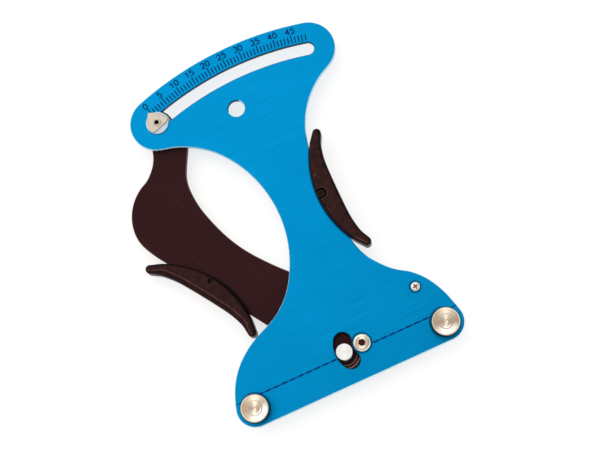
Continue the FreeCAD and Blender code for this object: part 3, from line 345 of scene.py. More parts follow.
def turned_metal(name, centre, color, dark_color, roughness, ring=0.35 * MM, contrast=0.5, sheen=0.6,
                 grooves=(), hollow=None, shine=None, foot=None):
    """Lathe-turned metal: rings about an upright axis, tool marks and a few scratches, with painted
    reflections, highlights and shade.

    ring is the pitch of the rings and contrast their depth of colour, sheen is the contrast
    of the light and dark sectors of painted reflection, grooves are rings of painted shade by radii
    and share, hollow is a recess painted in shade, shine is a painted highlight ring by heading and
    radii, and below foot the metal is painted in shade.
    """
    finish = Finish(name, color, 1.0, roughness)
    reach = finish.distance(centre)
    rings = finish.node("ShaderNodeTexNoise", {
        "W": finish.calculate("DIVIDE", reach, ring), "Scale": 1.0, "Detail": 4.0}, noise_dimensions="1D")
    rings = rings.outputs["Fac"]
    clouds = finish.noise(even(TURNED_CLOUD), 3.0)
    grains = finish.noise(even(TURNED_GRAIN), 2.0)
    tone = finish.mix(finish.fit(rings, 0.3, 0.7, 0.0, contrast), color, dark_color)
    tone = finish.mix(finish.fit(clouds, 0.45, 0.75, 0.0, 0.35), tone, dark_color)
    # Painted reflection: light and dark sectors about the axis
    sectors = finish.plus(finish.times(finish.angle(centre), SECTOR_COUNT), SECTOR_TURN)
    sectors = finish.calculate("SINE", sectors)
    tone = finish.mix(finish.fit(sectors, -0.6, 0.9, 0.0, sheen), tone, dark_color)
    tone = finish.mix(finish.fit(sectors, -0.5, -1.0, 0.0, sheen), tone, scaled(color, 1.4))
    worn = finish.scratches(TURNED_SCRATCH, 0.7)
    tone = finish.mix(finish.times(worn, 0.5), tone, scaled(color, 1.15))
    # Painted highlight crescents on one side of the ring, with a crescent of painted shade inside them
    if shine:
        toward, inner, outer = shine
        for near, far, soft, low, high, tint in (
                (inner, outer, 0.3 * MM, 0.3, 0.95, GLINT),
                (inner * 0.72, inner * 0.86, 0.2 * MM, 0.55, 0.95, GLINT),
                (inner * 0.90, inner, 0.1 * MM, 0.75, 0.97, scaled(dark_color, 0.3))):
            lit = finish.lobe(centre, toward, low, high)
            tone = finish.mix(finish.times(lit, finish.band(reach, near, far, soft)), tone, tint)
    # Painted highlight on chamfered edges
    tone = finish.mix(finish.band(finish.slope(), 0.4, 0.93, 0.05), tone, scaled(color, 1.5))
    # Rings of painted shade, in grooves and at the outer edge of a head
    for near, far, share in grooves:
        groove = finish.band(reach, near, far, 0.08 * MM)
        tone = finish.mix(finish.times(groove, share), tone, scaled(dark_color, 0.35))
    # Painted shade in the recess
    if hollow:
        tone = finish.hollow(tone, centre, *hollow)
    # Painted shade below the foot level, under a head
    if foot:
        shaded = finish.fit(finish.height(), foot + 0.2 * MM, foot - 0.1 * MM)
        tone = finish.mix(shaded, tone, scaled(dark_color, 0.55))
    finish.color(tone)
    finish.rough(finish.plus(finish.fit(rings, 0.25, 0.75, roughness - 0.07, roughness + 0.1),
                             finish.fit(grains, 0.4, 0.7, 0.0, 0.04)))
    finish.bump(finish.plus(rings, finish.times(grains, 0.25)), 0.03 * MM, 0.7)
    return finish.material


# Grain of plated and stamped metal
PLATED_STREAK = (3 * MM, 0.18 * MM, 0.6 * MM)
PLATED_CLOUD = 2.4 * MM
PLATED_SCRATCH = (3 * MM, 0.08 * MM)


def plain_metal(name, color, dark_color, roughness, turn=0.0, hollow=None):
    """Plated or stamped metal: grain one way, clouds, scratches, painted edge highlights, painted shade in a
    hollow.
    """
    finish = Finish(name, color, 1.0, roughness)
    streaks = finish.noise(PLATED_STREAK, 4.0, turn)
    clouds = finish.noise(even(PLATED_CLOUD), 4.0)
    tone = finish.mix(finish.fit(streaks, 0.3, 0.75, 0.0, 0.5), color, dark_color)
    tone = finish.mix(finish.fit(clouds, 0.45, 0.8, 0.0, 0.5), tone, dark_color)
    worn = finish.scratches(PLATED_SCRATCH, turn + 1.1)
    tone = finish.mix(finish.times(worn, 0.5), tone, scaled(color, 1.2))
    # Painted highlight on the broken edges
    broken = finish.band(finish.slope(), 0.35, 0.93, 0.06)
    tone = finish.mix(finish.times(broken, 0.7), tone, scaled(color, 1.5))
    # Painted shade in the recess
    if hollow:
        tone = finish.hollow(tone, *hollow)
    finish.color(tone)
    finish.rough(finish.fit(streaks, 0.25, 0.75, roughness - 0.08, roughness + 0.1))
    finish.bump(finish.plus(streaks, clouds), 0.02 * MM, 0.6)
    return finish.material


# Grain of moulded plastic and the width of the painted highlight rims about its marks, and the grain of ink
PLASTIC_CLOUD = 3.5 * MM
PLASTIC_PEBBLE = 0.32 * MM
PLASTIC_SCUFF = (5 * MM, 0.12 * MM)
RIM_WIDTH = 0.3 * MM
INK_SPOT = 0.5 * MM


def moulded_plastic(name, color, warm_color, edge_highlight_color, roughness, specular=0.5, bright=None, shaded=None,
                    wall_shade=None, rims=()):
    """Moulded plastic: fine pebble, flow clouds and faint scuffs, with painted highlights on its edges
    and painted shade on one side and on its walls.

    bright and shaded are the sides whose edges get a painted highlight and painted shade, by heading
    and reach, wall_shade is how dark the painted shade on the walls is, and rims are painted highlight
    rings by centre, radius, level and share.
    """
    finish = Finish(name, color, 0.0, roughness, specular)
    clouds = finish.noise(even(PLASTIC_CLOUD), 4.0)
    pebble = finish.noise(even(PLASTIC_PEBBLE), 3.0)
    tone = finish.mix(finish.fit(clouds, 0.35, 0.7), color, warm_color)
    slope = finish.slope()
    # Painted shade on the rounded edges that face one side
    if shaded:
        shade = finish.times(finish.fit(slope, 0.985, 0.80), finish.facing(*shaded))
        tone = finish.mix(finish.times(shade, 0.8), tone, scaled(color, 0.1))
    # Painted highlight on the edges, only on the side that bright gives where it is given
    edges = finish.band(slope, 0.88, 0.965, 0.025)
    if bright:
        edges = finish.times(edges, finish.facing(*bright))
    tone = finish.mix(finish.times(edges, finish.fit(clouds, 0.3, 0.6, 0.4, 0.8)), tone, edge_highlight_color)
    # Painted shade on the steep walls
    if wall_shade:
        tone = finish.mix(finish.fit(slope, 0.88, 0.55, 0.0, wall_shade), tone, scaled(color, 0.1))
    # Painted highlight rings about the recess and the moulding marks
    for centre, radius, level, share in rims:
        rim_highlight = finish.band(finish.distance(centre), radius, radius + RIM_WIDTH, 0.12 * MM)
        rim_highlight = finish.times(rim_highlight, finish.fit(finish.height(), level - 0.2 * MM, level - 0.1 * MM))
        tone = finish.mix(finish.times(rim_highlight, share), tone, edge_highlight_color)
    scuffs = finish.scratches(PLASTIC_SCUFF, 1.2, 0.66, 0.76)
    tone = finish.mix(finish.times(scuffs, 0.3), tone, tuple(c * 2.5 + 0.01 for c in color))
    finish.color(tone)
    finish.rough(finish.plus(finish.fit(clouds, 0.3, 0.7, roughness - 0.05, roughness + 0.08),
                             finish.fit(pebble, 0.4, 0.7, 0.0, 0.06)))
    finish.bump(finish.plus(pebble, finish.times(clouds, 0.6)), 0.03 * MM, 0.55)
    return finish.material


def paint(name, color):
    """Ink filled in engraving: uneven, half matt."""
    finish = Finish(name, color, 0.0, 0.5, specular=0.04)
    spots = finish.noise(even(INK_SPOT), 3.0)
    finish.color(finish.mix(finish.fit(spots, 0.4, 0.75), color, scaled(color, 1.6)))
    finish.rough(finish.fit(spots, 0.3, 0.7, 0.4, 0.6))
    finish.bump(spots, 0.02 * MM, 0.4)
    return finish.material


def dress(names, material):
    """One material on CAD nodes."""
    for name in names:
        slots = nodes[name].data.materials
        slots.clear()
        slots.append(material)


# Finishes of the plates: rings of painted shade on the blue face about what stands on it, which lean
# with the height of each head so that they show all round it from the front
SEATED = ("fixed_post_left", "fixed_post_right", "pivot_bolt", "spring_anchor_screw")
SEAT_SHADE_LEAN = Vector((-0.03, 0.11, 0))
seat_shade_rings = []
for node in SEATED:
    middle = centre_of(node)
    seat_shade_rings.append((middle + SEAT_SHADE_LEAN * (top_of(node) - FACE_LEVEL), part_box(node)[1].x - middle.x))

# Shaded walls of the scale slot, the kidney slot and the hanging hole: centre, radii, headings
DARK_WALLS = (
    (PIVOT, 189.0 * MM, 199.8 * MM, 73.0, 111.5),
    (PIVOT, 5.8 * MM, 18.4 * MM, -190.0, 190.0),
    (HANGING_HOLE, 4.8 * MM, 5.9 * MM, 50.0, 178.0),
)

# Painted shadow along the inner arcs of the grips: centre, radii, heading and reach along the arc
GRIP_ARC = 65.5 * MM
GRIP_ARC_CENTRE = Vector((62.4, -1.0, 0)) * MM
GRIP_TURNS = {"right": Matrix(),
              "left": Matrix.Rotation(math.radians(34.2), 4, "Z") @ Matrix.Rotation(math.pi, 4, "Y")}
right_grip_shadow = (centre_of("grip_screw_right") + GRIP_TURNS["right"] @ GRIP_ARC_CENTRE,
             GRIP_ARC - 0.5 * MM, GRIP_ARC + 0.7 * MM, 180.0, 0.85, 0.88)
left_grip_shadow = (centre_of("grip_screw_left") + GRIP_TURNS["left"] @ GRIP_ARC_CENTRE,
            GRIP_ARC - 0.5 * MM, GRIP_ARC + 1.4 * MM, 12.0, 0.87, 0.97)

# The blue plate's pale broken edges and pale side walls are painted highlight and painted light
dress(["front_plate"], brushed_plate(
    "blue_anodised", color=(0.0005, 0.235, 0.50), edge_highlight_color=(0.70, 0.90, 0.97),
    painted_wall_color=(0.34, 0.66, 0.80), wear_color=(0.25, 0.6, 0.85), metallic=1.0, roughness=0.42, turn=0.0,
    streak=0.24, grain=0.35, level=FACE_LEVEL, grip_shadow=right_grip_shadow, seat_shade_rings=seat_shade_rings, dark_walls=DARK_WALLS))
# The lever's pale broken edges and spot-face glints are painted highlights, and its dark side walls painted
# shade
dress(["lever_plate"], brushed_plate(
    "brown_anodised", color=(0.033, 0.0078, 0.0090), edge_highlight_color=(0.30, 0.18, 0.14),
    painted_wall_color=(0.010, 0.006, 0.006), wear_color=(0.12, 0.08, 0.07), metallic=0.5, roughness=0.5,
    turn=math.radians(110.0), streak=0.55, grain=0.8, level=top_of("lever_plate"), grip_shadow=left_grip_shadow,
    spot=centre_of("moving_pin")))

# Finishes of the grips: places of the moulding marks from the screw, and the rims about them with a
# painted highlight
EJECTOR_PLACE = Vector((2.2, -10.5, 0)) * MM
EJECTOR_RADIUS = 2.3 * MM
GATE_PLACE = Vector((1.0, 12.5, 0)) * MM
GATE_RADIUS = 0.55 * MM
RECESS_RADIUS = 3.5 * MM
screw_axis = centre_of("grip_screw_right")
mark_level = top_of("grip_right")
grip_highlight_rims = ((screw_axis, RECESS_RADIUS, mark_level, 0.45),
             (screw_axis + EJECTOR_PLACE, EJECTOR_RADIUS, mark_level, 0.25),
             (screw_axis + GATE_PLACE, GATE_RADIUS, mark_level, 0.5))
plastics = {}
# Each grip's side of painted highlight and side of painted shade, by heading and reach, and its highlight
# colour
for side, bright, shaded, edge_highlight_color, rims in (
        ("right", (236.0, 0.85, 0.97), (0.0, 0.2, 0.8), (0.21, 0.098, 0.088), grip_highlight_rims),
        ("left", (214.0, 0.3, 0.7), (34.0, 0.2, 0.8), (0.13, 0.062, 0.056), ())):
    plastics[side] = moulded_plastic(
        f"grip_plastic_{side}", (0.0155, 0.0042, 0.0040), (0.046, 0.0104, 0.0085), edge_highlight_color, 0.30,
        specular=0.07, bright=bright, shaded=shaded, wall_shade=0.7, rims=rims)

# Finishes of the turned pieces, with painted reflections, highlights and shade
STEEL_SHADE = (0.34, 0.26, 0.185)
# Rings of painted shade on the posts, in the groove and at the outer edge of the head, and a painted
# highlight ring on one side
POST_SHADE_RINGS = ((4.4 * MM, 4.7 * MM, 0.45), (8.3 * MM, 9.2 * MM, 0.75))
POST_SHINE = (4.8 * MM, 7.8 * MM)
POST_HEAD = 2.6 * MM
for post, toward in (("fixed_post_left", -60.0), ("fixed_post_right", -100.0)):
    dress([post], turned_metal(
        f"turned_{post}", centre_of(post), (0.66, 0.575, 0.46), (0.33, 0.225, 0.15), 0.3, sheen=0.75,
        grooves=POST_SHADE_RINGS, shine=(toward, *POST_SHINE), foot=top_of(post) - POST_HEAD))
dress(["pivot_bolt"], turned_metal(
    "turned_pivot_bolt", centre_of("pivot_bolt"), (0.72, 0.66, 0.54), STEEL_SHADE, 0.3,
    grooves=((3.7 * MM, 3.95 * MM, 0.5),),
    hollow=(2.45 * MM, top_of("pivot_bolt") - 0.35 * MM, (0.050, 0.009, 0.015))))
dress(["moving_pin"], turned_metal(
    "turned_moving_pin", centre_of("moving_pin"), (0.80, 0.79, 0.75), (0.66, 0.63, 0.58), 0.42,
    ring=0.5 * MM, contrast=0.35, sheen=0.25))
for post in ("spring_anchor_post", "spring_stud"):
    dress([post], turned_metal(f"turned_{post}", centre_of(post), (0.62, 0.58, 0.52), STEEL_SHADE, 0.34))
dress(["pointer_rivet"], turned_metal(
    "turned_pointer_rivet", centre_of("pointer_rivet"), (0.50, 0.45, 0.36), (0.31, 0.26, 0.19), 0.36,
    hollow=(1.5 * MM, top_of("pointer_rivet") - 0.5 * MM, (0.016, 0.006, 0.006))))
dress(["pivot_bush"], turned_metal(
    "brass_bush", centre_of("pivot_bush"), (0.72, 0.50, 0.22), (0.45, 0.28, 0.10), 0.36))

# Finishes of the plated, blackened and pale pieces, with painted highlights on their edges and painted
# shade in a screw's recess, and the inks
dress(["pointer"], plain_metal("pointer_steel", (0.51, 0.455, 0.37), (0.33, 0.275, 0.215), 0.36, turn=0.9))
dress(["post_washer_left", "post_washer_right", "post_screw_left", "post_screw_right", "pivot_washer",
       "pivot_nut", "moving_pin_washer", "moving_pin_screw"],
      plain_metal("zinc_steel", (0.72, 0.72, 0.73), (0.50, 0.49, 0.49), 0.34))
dress(["spring_anchor_screw"], plain_metal(
    "zinc_screw", (0.76, 0.72, 0.66), (0.52, 0.46, 0.40), 0.34,
    hollow=(centre_of("spring_anchor_screw"), 1.9 * MM, top_of("spring_anchor_screw") - 0.2 * MM,
            (0.16, 0.07, 0.03))))
dress(["grip_screw_right"], plain_metal("black_screw", (0.020, 0.012, 0.010), (0.007, 0.004, 0.004), 0.34))
dress(["grip_screw_left"], plain_metal("black_screw_end", (0.014, 0.010, 0.009), (0.006, 0.004, 0.004), 0.4))
dress(["pointer_washer", "pointer_bush", "pointer_glide"],
      moulded_plastic("glide_plastic", (0.60, 0.71, 0.82), (0.53, 0.62, 0.71), (0.74, 0.86, 0.95), 0.38))
ink = paint("scale_ink", (0.0004, 0.014, 0.095))
line_ink = paint("spoke_line_ink", (0.0004, 0.035, 0.17))
spring_steel = plain_metal("spring_steel", (0.62, 0.62, 0.63), (0.34, 0.33, 0.33), 0.3)


# Pieces

def new_piece(name, mesh, material, body):
    """A piece of the visual model, attached to a CAD body when one is given."""
    piece = bpy.data.objects.new(name, mesh)
    bpy.context.scene.collection.objects.link(piece)
    mesh.materials.clear()
    mesh.materials.append(material)
    if body:
        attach(piece, body)
    return piece


def finished_mesh(name, mesh):
    """A bmesh written to a mesh."""
    bmesh.ops.recalc_face_normals(mesh, faces=mesh.faces)
    made = bpy.data.meshes.new(name)
    mesh.to_mesh(made)
    mesh.free()
    return made


def join_rings(mesh, rings):
    """Quads between rings of points, each ring as long as the one before."""
    for lower, upper in zip(rings, rings[1:]):
        for k in range(len(lower)):
            after = (k + 1) % len(lower)
            mesh.faces.new((lower[k], lower[after], upper[after], upper[k]))


# Ink in the engraved marks, a little proud of the face and run over the grooves' sides
INK_TOP = FACE_LEVEL + 0.02 * MM
INK_FOOT = FACE_LEVEL - 0.145 * MM
INK_RIM = 0.04 * MM
INK_INSET = 0.01 * MM


def ink_bar(mesh, start, end, width):
    """One filled groove between two points, with a broken upper edge."""
    along = (end - start).normalized()
    side = Vector((-along.y, along.x, 0))
    rings = []
    for inset, level in (
            (INK_INSET, INK_FOOT), (INK_INSET, INK_TOP - INK_RIM / 2), (INK_INSET + INK_RIM, INK_TOP)):
        half = side * (width / 2 - inset)
        shift = along * inset
        rise = Vector((0, 0, level))
        ring = [start + shift - half, end - shift - half, end - shift + half, start + shift + half]
        rings.append([mesh.verts.new(p + rise) for p in ring])
    join_rings(mesh, rings)
    mesh.faces.new(rings[-1])
    mesh.faces.new(rings[0][::-1])


# Ticks of the scale, about the pivot, with every fifth one longer and numbered
TICKS = 50
NUMBERED_EVERY = 5
TICK_START = 107.98
TICK_STEP = 0.6525
TICK_FOOT = 199.4 * MM
TICK_LENGTH = 4.4 * MM
FIVE_LENGTH = 5.7 * MM
TICK_WIDTH = 0.78 * MM

marks = bmesh.new()
for tick in range(TICKS):
    out = heading(TICK_START - TICK_STEP * tick)
    top = TICK_FOOT + (TICK_LENGTH if tick % NUMBERED_EVERY else FIVE_LENGTH)
    ink_bar(marks, PIVOT + out * TICK_FOOT, PIVOT + out * top, TICK_WIDTH)
new_piece("scale_ticks", finished_mesh("scale_ticks", marks), ink, "frame")

# The engraved line of the spoke with its dashes
LINE_WIDTH = 0.62 * MM
LINE_ENDS = {-1: (5.977 * MM, 74.0 * MM), 1: (17.95 * MM, 74.0 * MM)}
DASH_START = 0.6 * MM
DASH_LENGTH = 3.3 * MM
DASH_WIDTH = 1.2 * MM
DASH_PITCH = 5.5 * MM
DASH_LAST = 69.5 * MM

marks = bmesh.new()
for side, (near, far) in LINE_ENDS.items():
    out = Vector((side, 0, 0))
    place = near
    for dash in range(int((DASH_LAST - near - DASH_LENGTH) // DASH_PITCH) + 1):
        foot = near + DASH_START + DASH_PITCH * dash
        ink_bar(marks, out * place, out * foot, LINE_WIDTH)
        ink_bar(marks, out * foot, out * (foot + DASH_LENGTH), DASH_WIDTH)
        place = foot + DASH_LENGTH
    ink_bar(marks, out * place, out * far, LINE_WIDTH)
new_piece("spoke_line", finished_mesh("spoke_line", marks), line_ink, "frame")

# Numbers of the scale, in single strokes as an engraving machine cuts them
NUMBER_RADIUS = 207.8 * MM
NUMBER_HEIGHT = 3.7 * MM
NUMBER_PITCH = 3.3 * MM
NUMBER_WIDTH_SHARE = 0.64
NUMBER_STROKE = 0.78 * MM
NUMBER_FLATNESS = 0.1
NUMBER_BEVEL_STEPS = 2
STROKE_STEP = 15
SHARP_CORNER = math.radians(50)


def bend(across, up, wide, high, start, stop):
    """Points along an elliptic bend between two headings in degrees."""
    count = max(2, round(abs(stop - start) / STROKE_STEP))
    turns = [math.radians(start + (stop - start) * k / count) for k in range(count + 1)]
    return [(across + wide * math.cos(t), up + high * math.sin(t)) for t in turns]


# Strokes in shares of a numeral's height, from its lower left corner
NUMERAL_SHARES = {
    "0": bend(0.32, 0.5, 0.32, 0.5, 90, 450),
    "1": [(0.12, 0.76), (0.38, 1.0), (0.38, 0.0)],
    "2": bend(0.32, 0.70, 0.30, 0.30, 165, -35) + [(0.02, 0.0), (0.64, 0.0)],
    "3": bend(0.30, 0.755, 0.27, 0.245, 150, -80) + bend(0.30, 0.27, 0.33, 0.27, 85, -150),
    "4": [(0.48, 0.0), (0.48, 1.0), (0.0, 0.29), (0.66, 0.29)],
    "5": [(0.58, 1.0), (0.13, 1.0), (0.09, 0.56)] + bend(0.30, 0.33, 0.33, 0.33, 128, -145),
}


def straight_runs(stroke):
    """A stroke's runs between its sharp corners, where one spline would pinch."""
    runs = [[stroke[0]]]
    for before, corner, after in zip(stroke, stroke[1:], stroke[2:]):
        runs[-1].append(corner)
        arriving = Vector((corner[0] - before[0], corner[1] - before[1]))
        leaving = Vector((after[0] - corner[0], after[1] - corner[1]))
        if arriving.angle(leaving) > SHARP_CORNER:
            runs.append([corner])
    runs[-1].append(stroke[-1])
    return runs


def number_mesh(text):
    """Plain numerals as flat strokes, centred on the origin."""
    curve = bpy.data.curves.new("numeral", "CURVE")
    curve.dimensions = "3D"
    curve.bevel_depth = NUMBER_STROKE / 2
    curve.bevel_resolution = NUMBER_BEVEL_STEPS
    curve.use_fill_caps = True
    left = -((len(text) - 1) * NUMBER_PITCH + NUMBER_WIDTH_SHARE * NUMBER_HEIGHT) / 2
    for place, numeral in enumerate(text):
        closed = numeral == "0"
        stroke = NUMERAL_SHARES[numeral]
        runs = [stroke[:-1]] if closed else straight_runs(stroke)
        for points in runs:
            spline = curve.splines.new("POLY")
            spline.points.add(len(points) - 1)
            spline.use_cyclic_u = closed
            for point, (across, up) in zip(spline.points, points):
                side = left + place * NUMBER_PITCH + across * NUMBER_HEIGHT
                point.co = (side, (up - 0.5) * NUMBER_HEIGHT, 0, 1)
    holder = bpy.data.objects.new("numeral", curve)
    bpy.context.scene.collection.objects.link(holder)
    bpy.context.view_layer.update()
    mesh = bpy.data.meshes.new_from_object(holder.evaluated_get(bpy.context.evaluated_depsgraph_get()))
    bpy.data.objects.remove(holder)
    mesh.transform(Matrix.Diagonal((1, 1, NUMBER_FLATNESS, 1)))
    return mesh


numbers = bmesh.new()
for tick in range(0, TICKS, NUMBERED_EVERY):
    angle = TICK_START - TICK_STEP * tick
    place = PIVOT + heading(angle) * NUMBER_RADIUS
    place.z = FACE_LEVEL
    mesh = number_mesh(str(tick))
    mesh.transform(Matrix.Translation(place) @ Matrix.Rotation(math.radians(angle - 90), 4, "Z"))
    numbers.from_mesh(mesh)
new_piece("scale_numbers", finished_mesh("scale_numbers", numbers), ink, "frame")

# Return spring: open loops at both ends, one arc up to the coil, and the coil
WIRE = 1.0 * MM
LOOP_RADIUS = 2.6 * MM
COIL_RADIUS = 2.6 * MM
SPRING_TURNS = 13
SPRING_LEAD = 6.8 * MM
LOOP_OPENING = 60.0
LOOP_END = 270.0
LOOP_RISE = 12.0
WIRE_SIDES = 14
ARC_STEP = math.radians(9)
ALMOST_ZERO = 1e-5
# Rings of a wire's rounded end, outermost first: way back along the wire and radius, in radii
WIRE_END_SHARES = ((0.0, 0.8), (0.3, 1.0))


def spring_stations(span):
    """Points and directions along the wire, from the stud's loop to the anchor's."""
    pitch = (span - 2 * SPRING_LEAD) / SPRING_TURNS
    near = [(heading(a) * LOOP_RADIUS, heading(a + 90))
            for a in (LOOP_OPENING, (LOOP_OPENING + LOOP_END) / 2, LOOP_END)]
    near.append((heading(LOOP_END) * LOOP_RADIUS + heading(LOOP_RISE / 2) * LOOP_RADIUS, heading(LOOP_RISE)))
    coils = []
    for quarter in range(4 * SPRING_TURNS + 1):
        turn = math.pi / 2 * quarter
        side = COIL_RADIUS * math.sin(turn)
        rise = COIL_RADIUS * math.cos(turn)
        place = Vector((SPRING_LEAD + pitch * quarter / 4, side, rise))
        course = Vector((pitch / (2 * math.pi), rise, -side))
        coils.append((place, course.normalized()))
    far = [(Vector((span - p.x, -p.y, p.z)), Vector((d.x, d.y, -d.z))) for p, d in reversed(near)]
    return near + coils + far


def arc_points(start, direction, end, step):
    """Points along the arc that leaves start along direction and ends at end, without its end."""
    chord = end - start
    half_turn = direction.angle(chord)
    across = chord - direction * chord.dot(direction)
    if half_turn < ALMOST_ZERO:
        return [start]
    across.normalize()
    radius = chord.length / (2 * math.sin(half_turn))
    count = max(2, math.ceil(2 * half_turn / step))
    turns = [2 * half_turn * k / count for k in range(count)]
    return [start + direction * (radius * math.sin(t)) + across * (radius * (1 - math.cos(t))) for t in turns]


def arc_back(start, end, arriving, step):
    """Points from start along the arc that arrives at end along a direction, without its end."""
    points = arc_points(end, -arriving, start, step)
    return [start] + points[:0:-1]


def route_points(stations, step):
    """Points along pairs of tangent arcs through the stations."""
    points = []
    for (start, leaving), (end, arriving) in zip(stations, stations[1:]):
        chord = end - start
        both = leaving + arriving
        squared = 2 * (leaving.dot(arriving) - 1)
        if abs(squared) < ALMOST_ZERO:
            reach = chord.dot(chord) / (4 * chord.dot(arriving))
        else:
            along = 2 * chord.dot(both)
            reach = (along - math.sqrt(along * along - 4 * squared * chord.dot(chord))) / (2 * squared)
        joint = (start + leaving * reach + end - arriving * reach) * 0.5
        points += arc_points(start, leaving, joint, step)
        points += arc_back(joint, end, arriving, step)
    points.append(stations[-1][0])
    return points


def tube(points, radius, sides):
    """Round wire along points, with rounded ends."""
    mesh = bmesh.new()
    last = len(points) - 1
    tangents = []
    for k in range(len(points)):
        tangents.append((points[min(last, k + 1)] - points[max(0, k - 1)]).normalized())
    normal = tangents[0].orthogonal().normalized()
    rings = []
    for k, (place, tangent) in enumerate(zip(points, tangents)):
        if k:
            turn = tangents[k - 1].rotation_difference(tangent)
            normal = (turn @ normal).normalized()
        spots = [(place, 1.0)]
        if k == 0:
            spots = [(place + tangent * radius * back, share) for back, share in WIRE_END_SHARES]
        if k == last:
            spots = [(place - tangent * radius * back, share) for back, share in reversed(WIRE_END_SHARES)]
        side = tangent.cross(normal)
        for spot, share in spots:
            turns = [2 * math.pi * m / sides for m in range(sides)]
            rings.append([
                mesh.verts.new(spot + (normal * math.cos(a) + side * math.sin(a)) * (radius * share))
                for a in turns])
    join_rings(mesh, rings)
    mesh.faces.new(rings[0][::-1])
    mesh.faces.new(rings[-1])
    for face in mesh.faces:
        face.smooth = len(face.verts) == 4
    return mesh


span = ANCHOR - STUD
seat = Matrix.Translation(STUD + Vector((0, 0, SPRING_LEVEL)))
seat = seat @ Matrix.Rotation(math.atan2(span.y, span.x), 4, "Z")
wire = [seat @ p for p in route_points(spring_stations(span.length), ARC_STEP)]
spring = new_piece("spring_wire", finished_mesh("spring_wire", tube(wire, WIRE / 2, WIRE_SIDES)),
                   spring_steel, None)
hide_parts("return_spring")
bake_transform(spring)

# Grips, one moulding used twice: the recess face is softly rounded, and the other
# face has a ridge with a long slope down to the palm
GRIP_HALF = 41.2 * MM
GRIP_OFFSET = 1.0 * MM
GRIP_PALM = 10.2 * MM
GRIP_BULGE = 3.1 * MM
GRIP_TIP_SIDE = 13.2 * MM
GRIP_TIP_RADIUS = 2.75 * MM
GRIP_TIP_HEADINGS = (66.0, 234.0)
# One more place on each long side: shares of the half length and of the way over to the tip's
# side, and the outline's heading there
GRIP_PALM_SHARES = (0.72, 0.38)
GRIP_PALM_HEADING = 76.0
GRIP_INNER_SHARES = (0.78, 0.62)
GRIP_INNER_HEADING = 241.0
GRIP_STEP = math.radians(3)
GRIP_ROUND = 2.3 * MM
RIDGE_INSET = 3.7 * MM
RIDGE_DROP = 2.9 * MM
RIDGE_POWER = 1.25
# The ridge grows where the outline turns to the palm, and fades towards the tips
RIDGE_TURN_SHARES = (0.2, 0.6)
RIDGE_FADE_SHARES = (0.72, 0.93)
EDGE_STEPS = 8
FACE_RIM = 0.06 * MM
SLOT_DEPTH = 4.85 * MM
SCREW_HOLE = 1.52 * MM
RECESS_DEPTH = 2.4 * MM
MARK_DEPTH = 0.3 * MM
OVERRUN = 1.0 * MM
CUTTER_SIDES = 48
SHARP_EDGE = math.radians(32)


def grip_stations():
    """Outline of a grip about its screw, anticlockwise: +X towards the palm, +Y along the edge."""
    tip = Vector((GRIP_TIP_SIDE, GRIP_HALF - GRIP_TIP_RADIUS, 0))
    palm_rise, palm_turn = GRIP_PALM_SHARES
    inner_rise, inner_turn = GRIP_INNER_SHARES
    palm_side = GRIP_PALM + (tip.x + GRIP_TIP_RADIUS - GRIP_PALM) * palm_turn
    inner_side = (tip.x - GRIP_TIP_RADIUS + GRIP_BULGE) * inner_turn - GRIP_BULGE
    upper = [(Vector((palm_side, GRIP_HALF * palm_rise, 0)), GRIP_PALM_HEADING)]
    upper += [(tip + heading(a - 90) * GRIP_TIP_RADIUS, a) for a in GRIP_TIP_HEADINGS]
    upper += [(Vector((inner_side, GRIP_HALF * inner_rise, 0)), GRIP_INNER_HEADING)]
    lower = [(Vector((p.x, -p.y, 0)), 180 - a) for p, a in reversed(upper)]
    start = (Vector((GRIP_PALM, 0, 0)), 90)
    stations = [start] + upper + [(Vector((-GRIP_BULGE, 0, 0)), 270)] + lower + [start]
    return [(p - Vector((0, GRIP_OFFSET, 0)), heading(a)) for p, a in stations]


def smooth_step(value, low, high):
    """0 below low and 1 above high, with a smooth rise."""
    share = min(1.0, max(0.0, (value - low) / (high - low)))
    return share * share * (3 - 2 * share)


def grip_edge(share, ridge):
    """Inset and drop along a grip's edge, from its wall at share 0 to its face at share 1."""
    turn = math.pi / 2 * share
    power = 2 / (2 + (RIDGE_POWER - 2) * ridge)
    inset = (GRIP_ROUND + (RIDGE_INSET - GRIP_ROUND) * ridge) * (1 - math.cos(turn) ** power)
    drop = (GRIP_ROUND + (RIDGE_DROP - GRIP_ROUND) * ridge) * (1 - math.sin(turn) ** power)
    return inset, drop


def grip_blank(half):
    """The moulding before its slot and holes, with rings of points from the ridge face up."""
    points = route_points(grip_stations(), GRIP_STEP)[:-1]
    fade_start, fade_end = RIDGE_FADE_SHARES
    rims = []
    for k, point in enumerate(points):
        along = (points[(k + 1) % len(points)] - points[k - 1]).normalized()
        outward = Vector((along.y, -along.x, 0))
        reach = abs(point.y + GRIP_OFFSET) / GRIP_HALF
        ridge = smooth_step(outward.x, *RIDGE_TURN_SHARES) * smooth_step(-reach, -fade_end, -fade_start)
        rims.append((point, outward, ridge))
    shares = [k / EDGE_STEPS for k in range(EDGE_STEPS + 1)]
    mesh = bmesh.new()
    rings = []
    for side, steps in ((-1, reversed(shares)), (1, shares)):
        for share in steps:
            ring = []
            for point, outward, ridge in rims:
                inset, drop = grip_edge(share, ridge if side < 0 else 0.0)
                ring.append(mesh.verts.new(point - outward * inset + Vector((0, 0, side * (half - drop)))))
            rings.append(ring)
    foot_rim, top_rim = [
        [mesh.verts.new(v.co - outward * FACE_RIM) for v, (_, outward, _) in zip(ring, rims)]
        for ring in (rings[0], rings[-1])]
    rings = [foot_rim] + rings + [top_rim]
    join_rings(mesh, rings)
    mesh.faces.new(rings[0][::-1])
    mesh.faces.new(rings[-1])
    return mesh


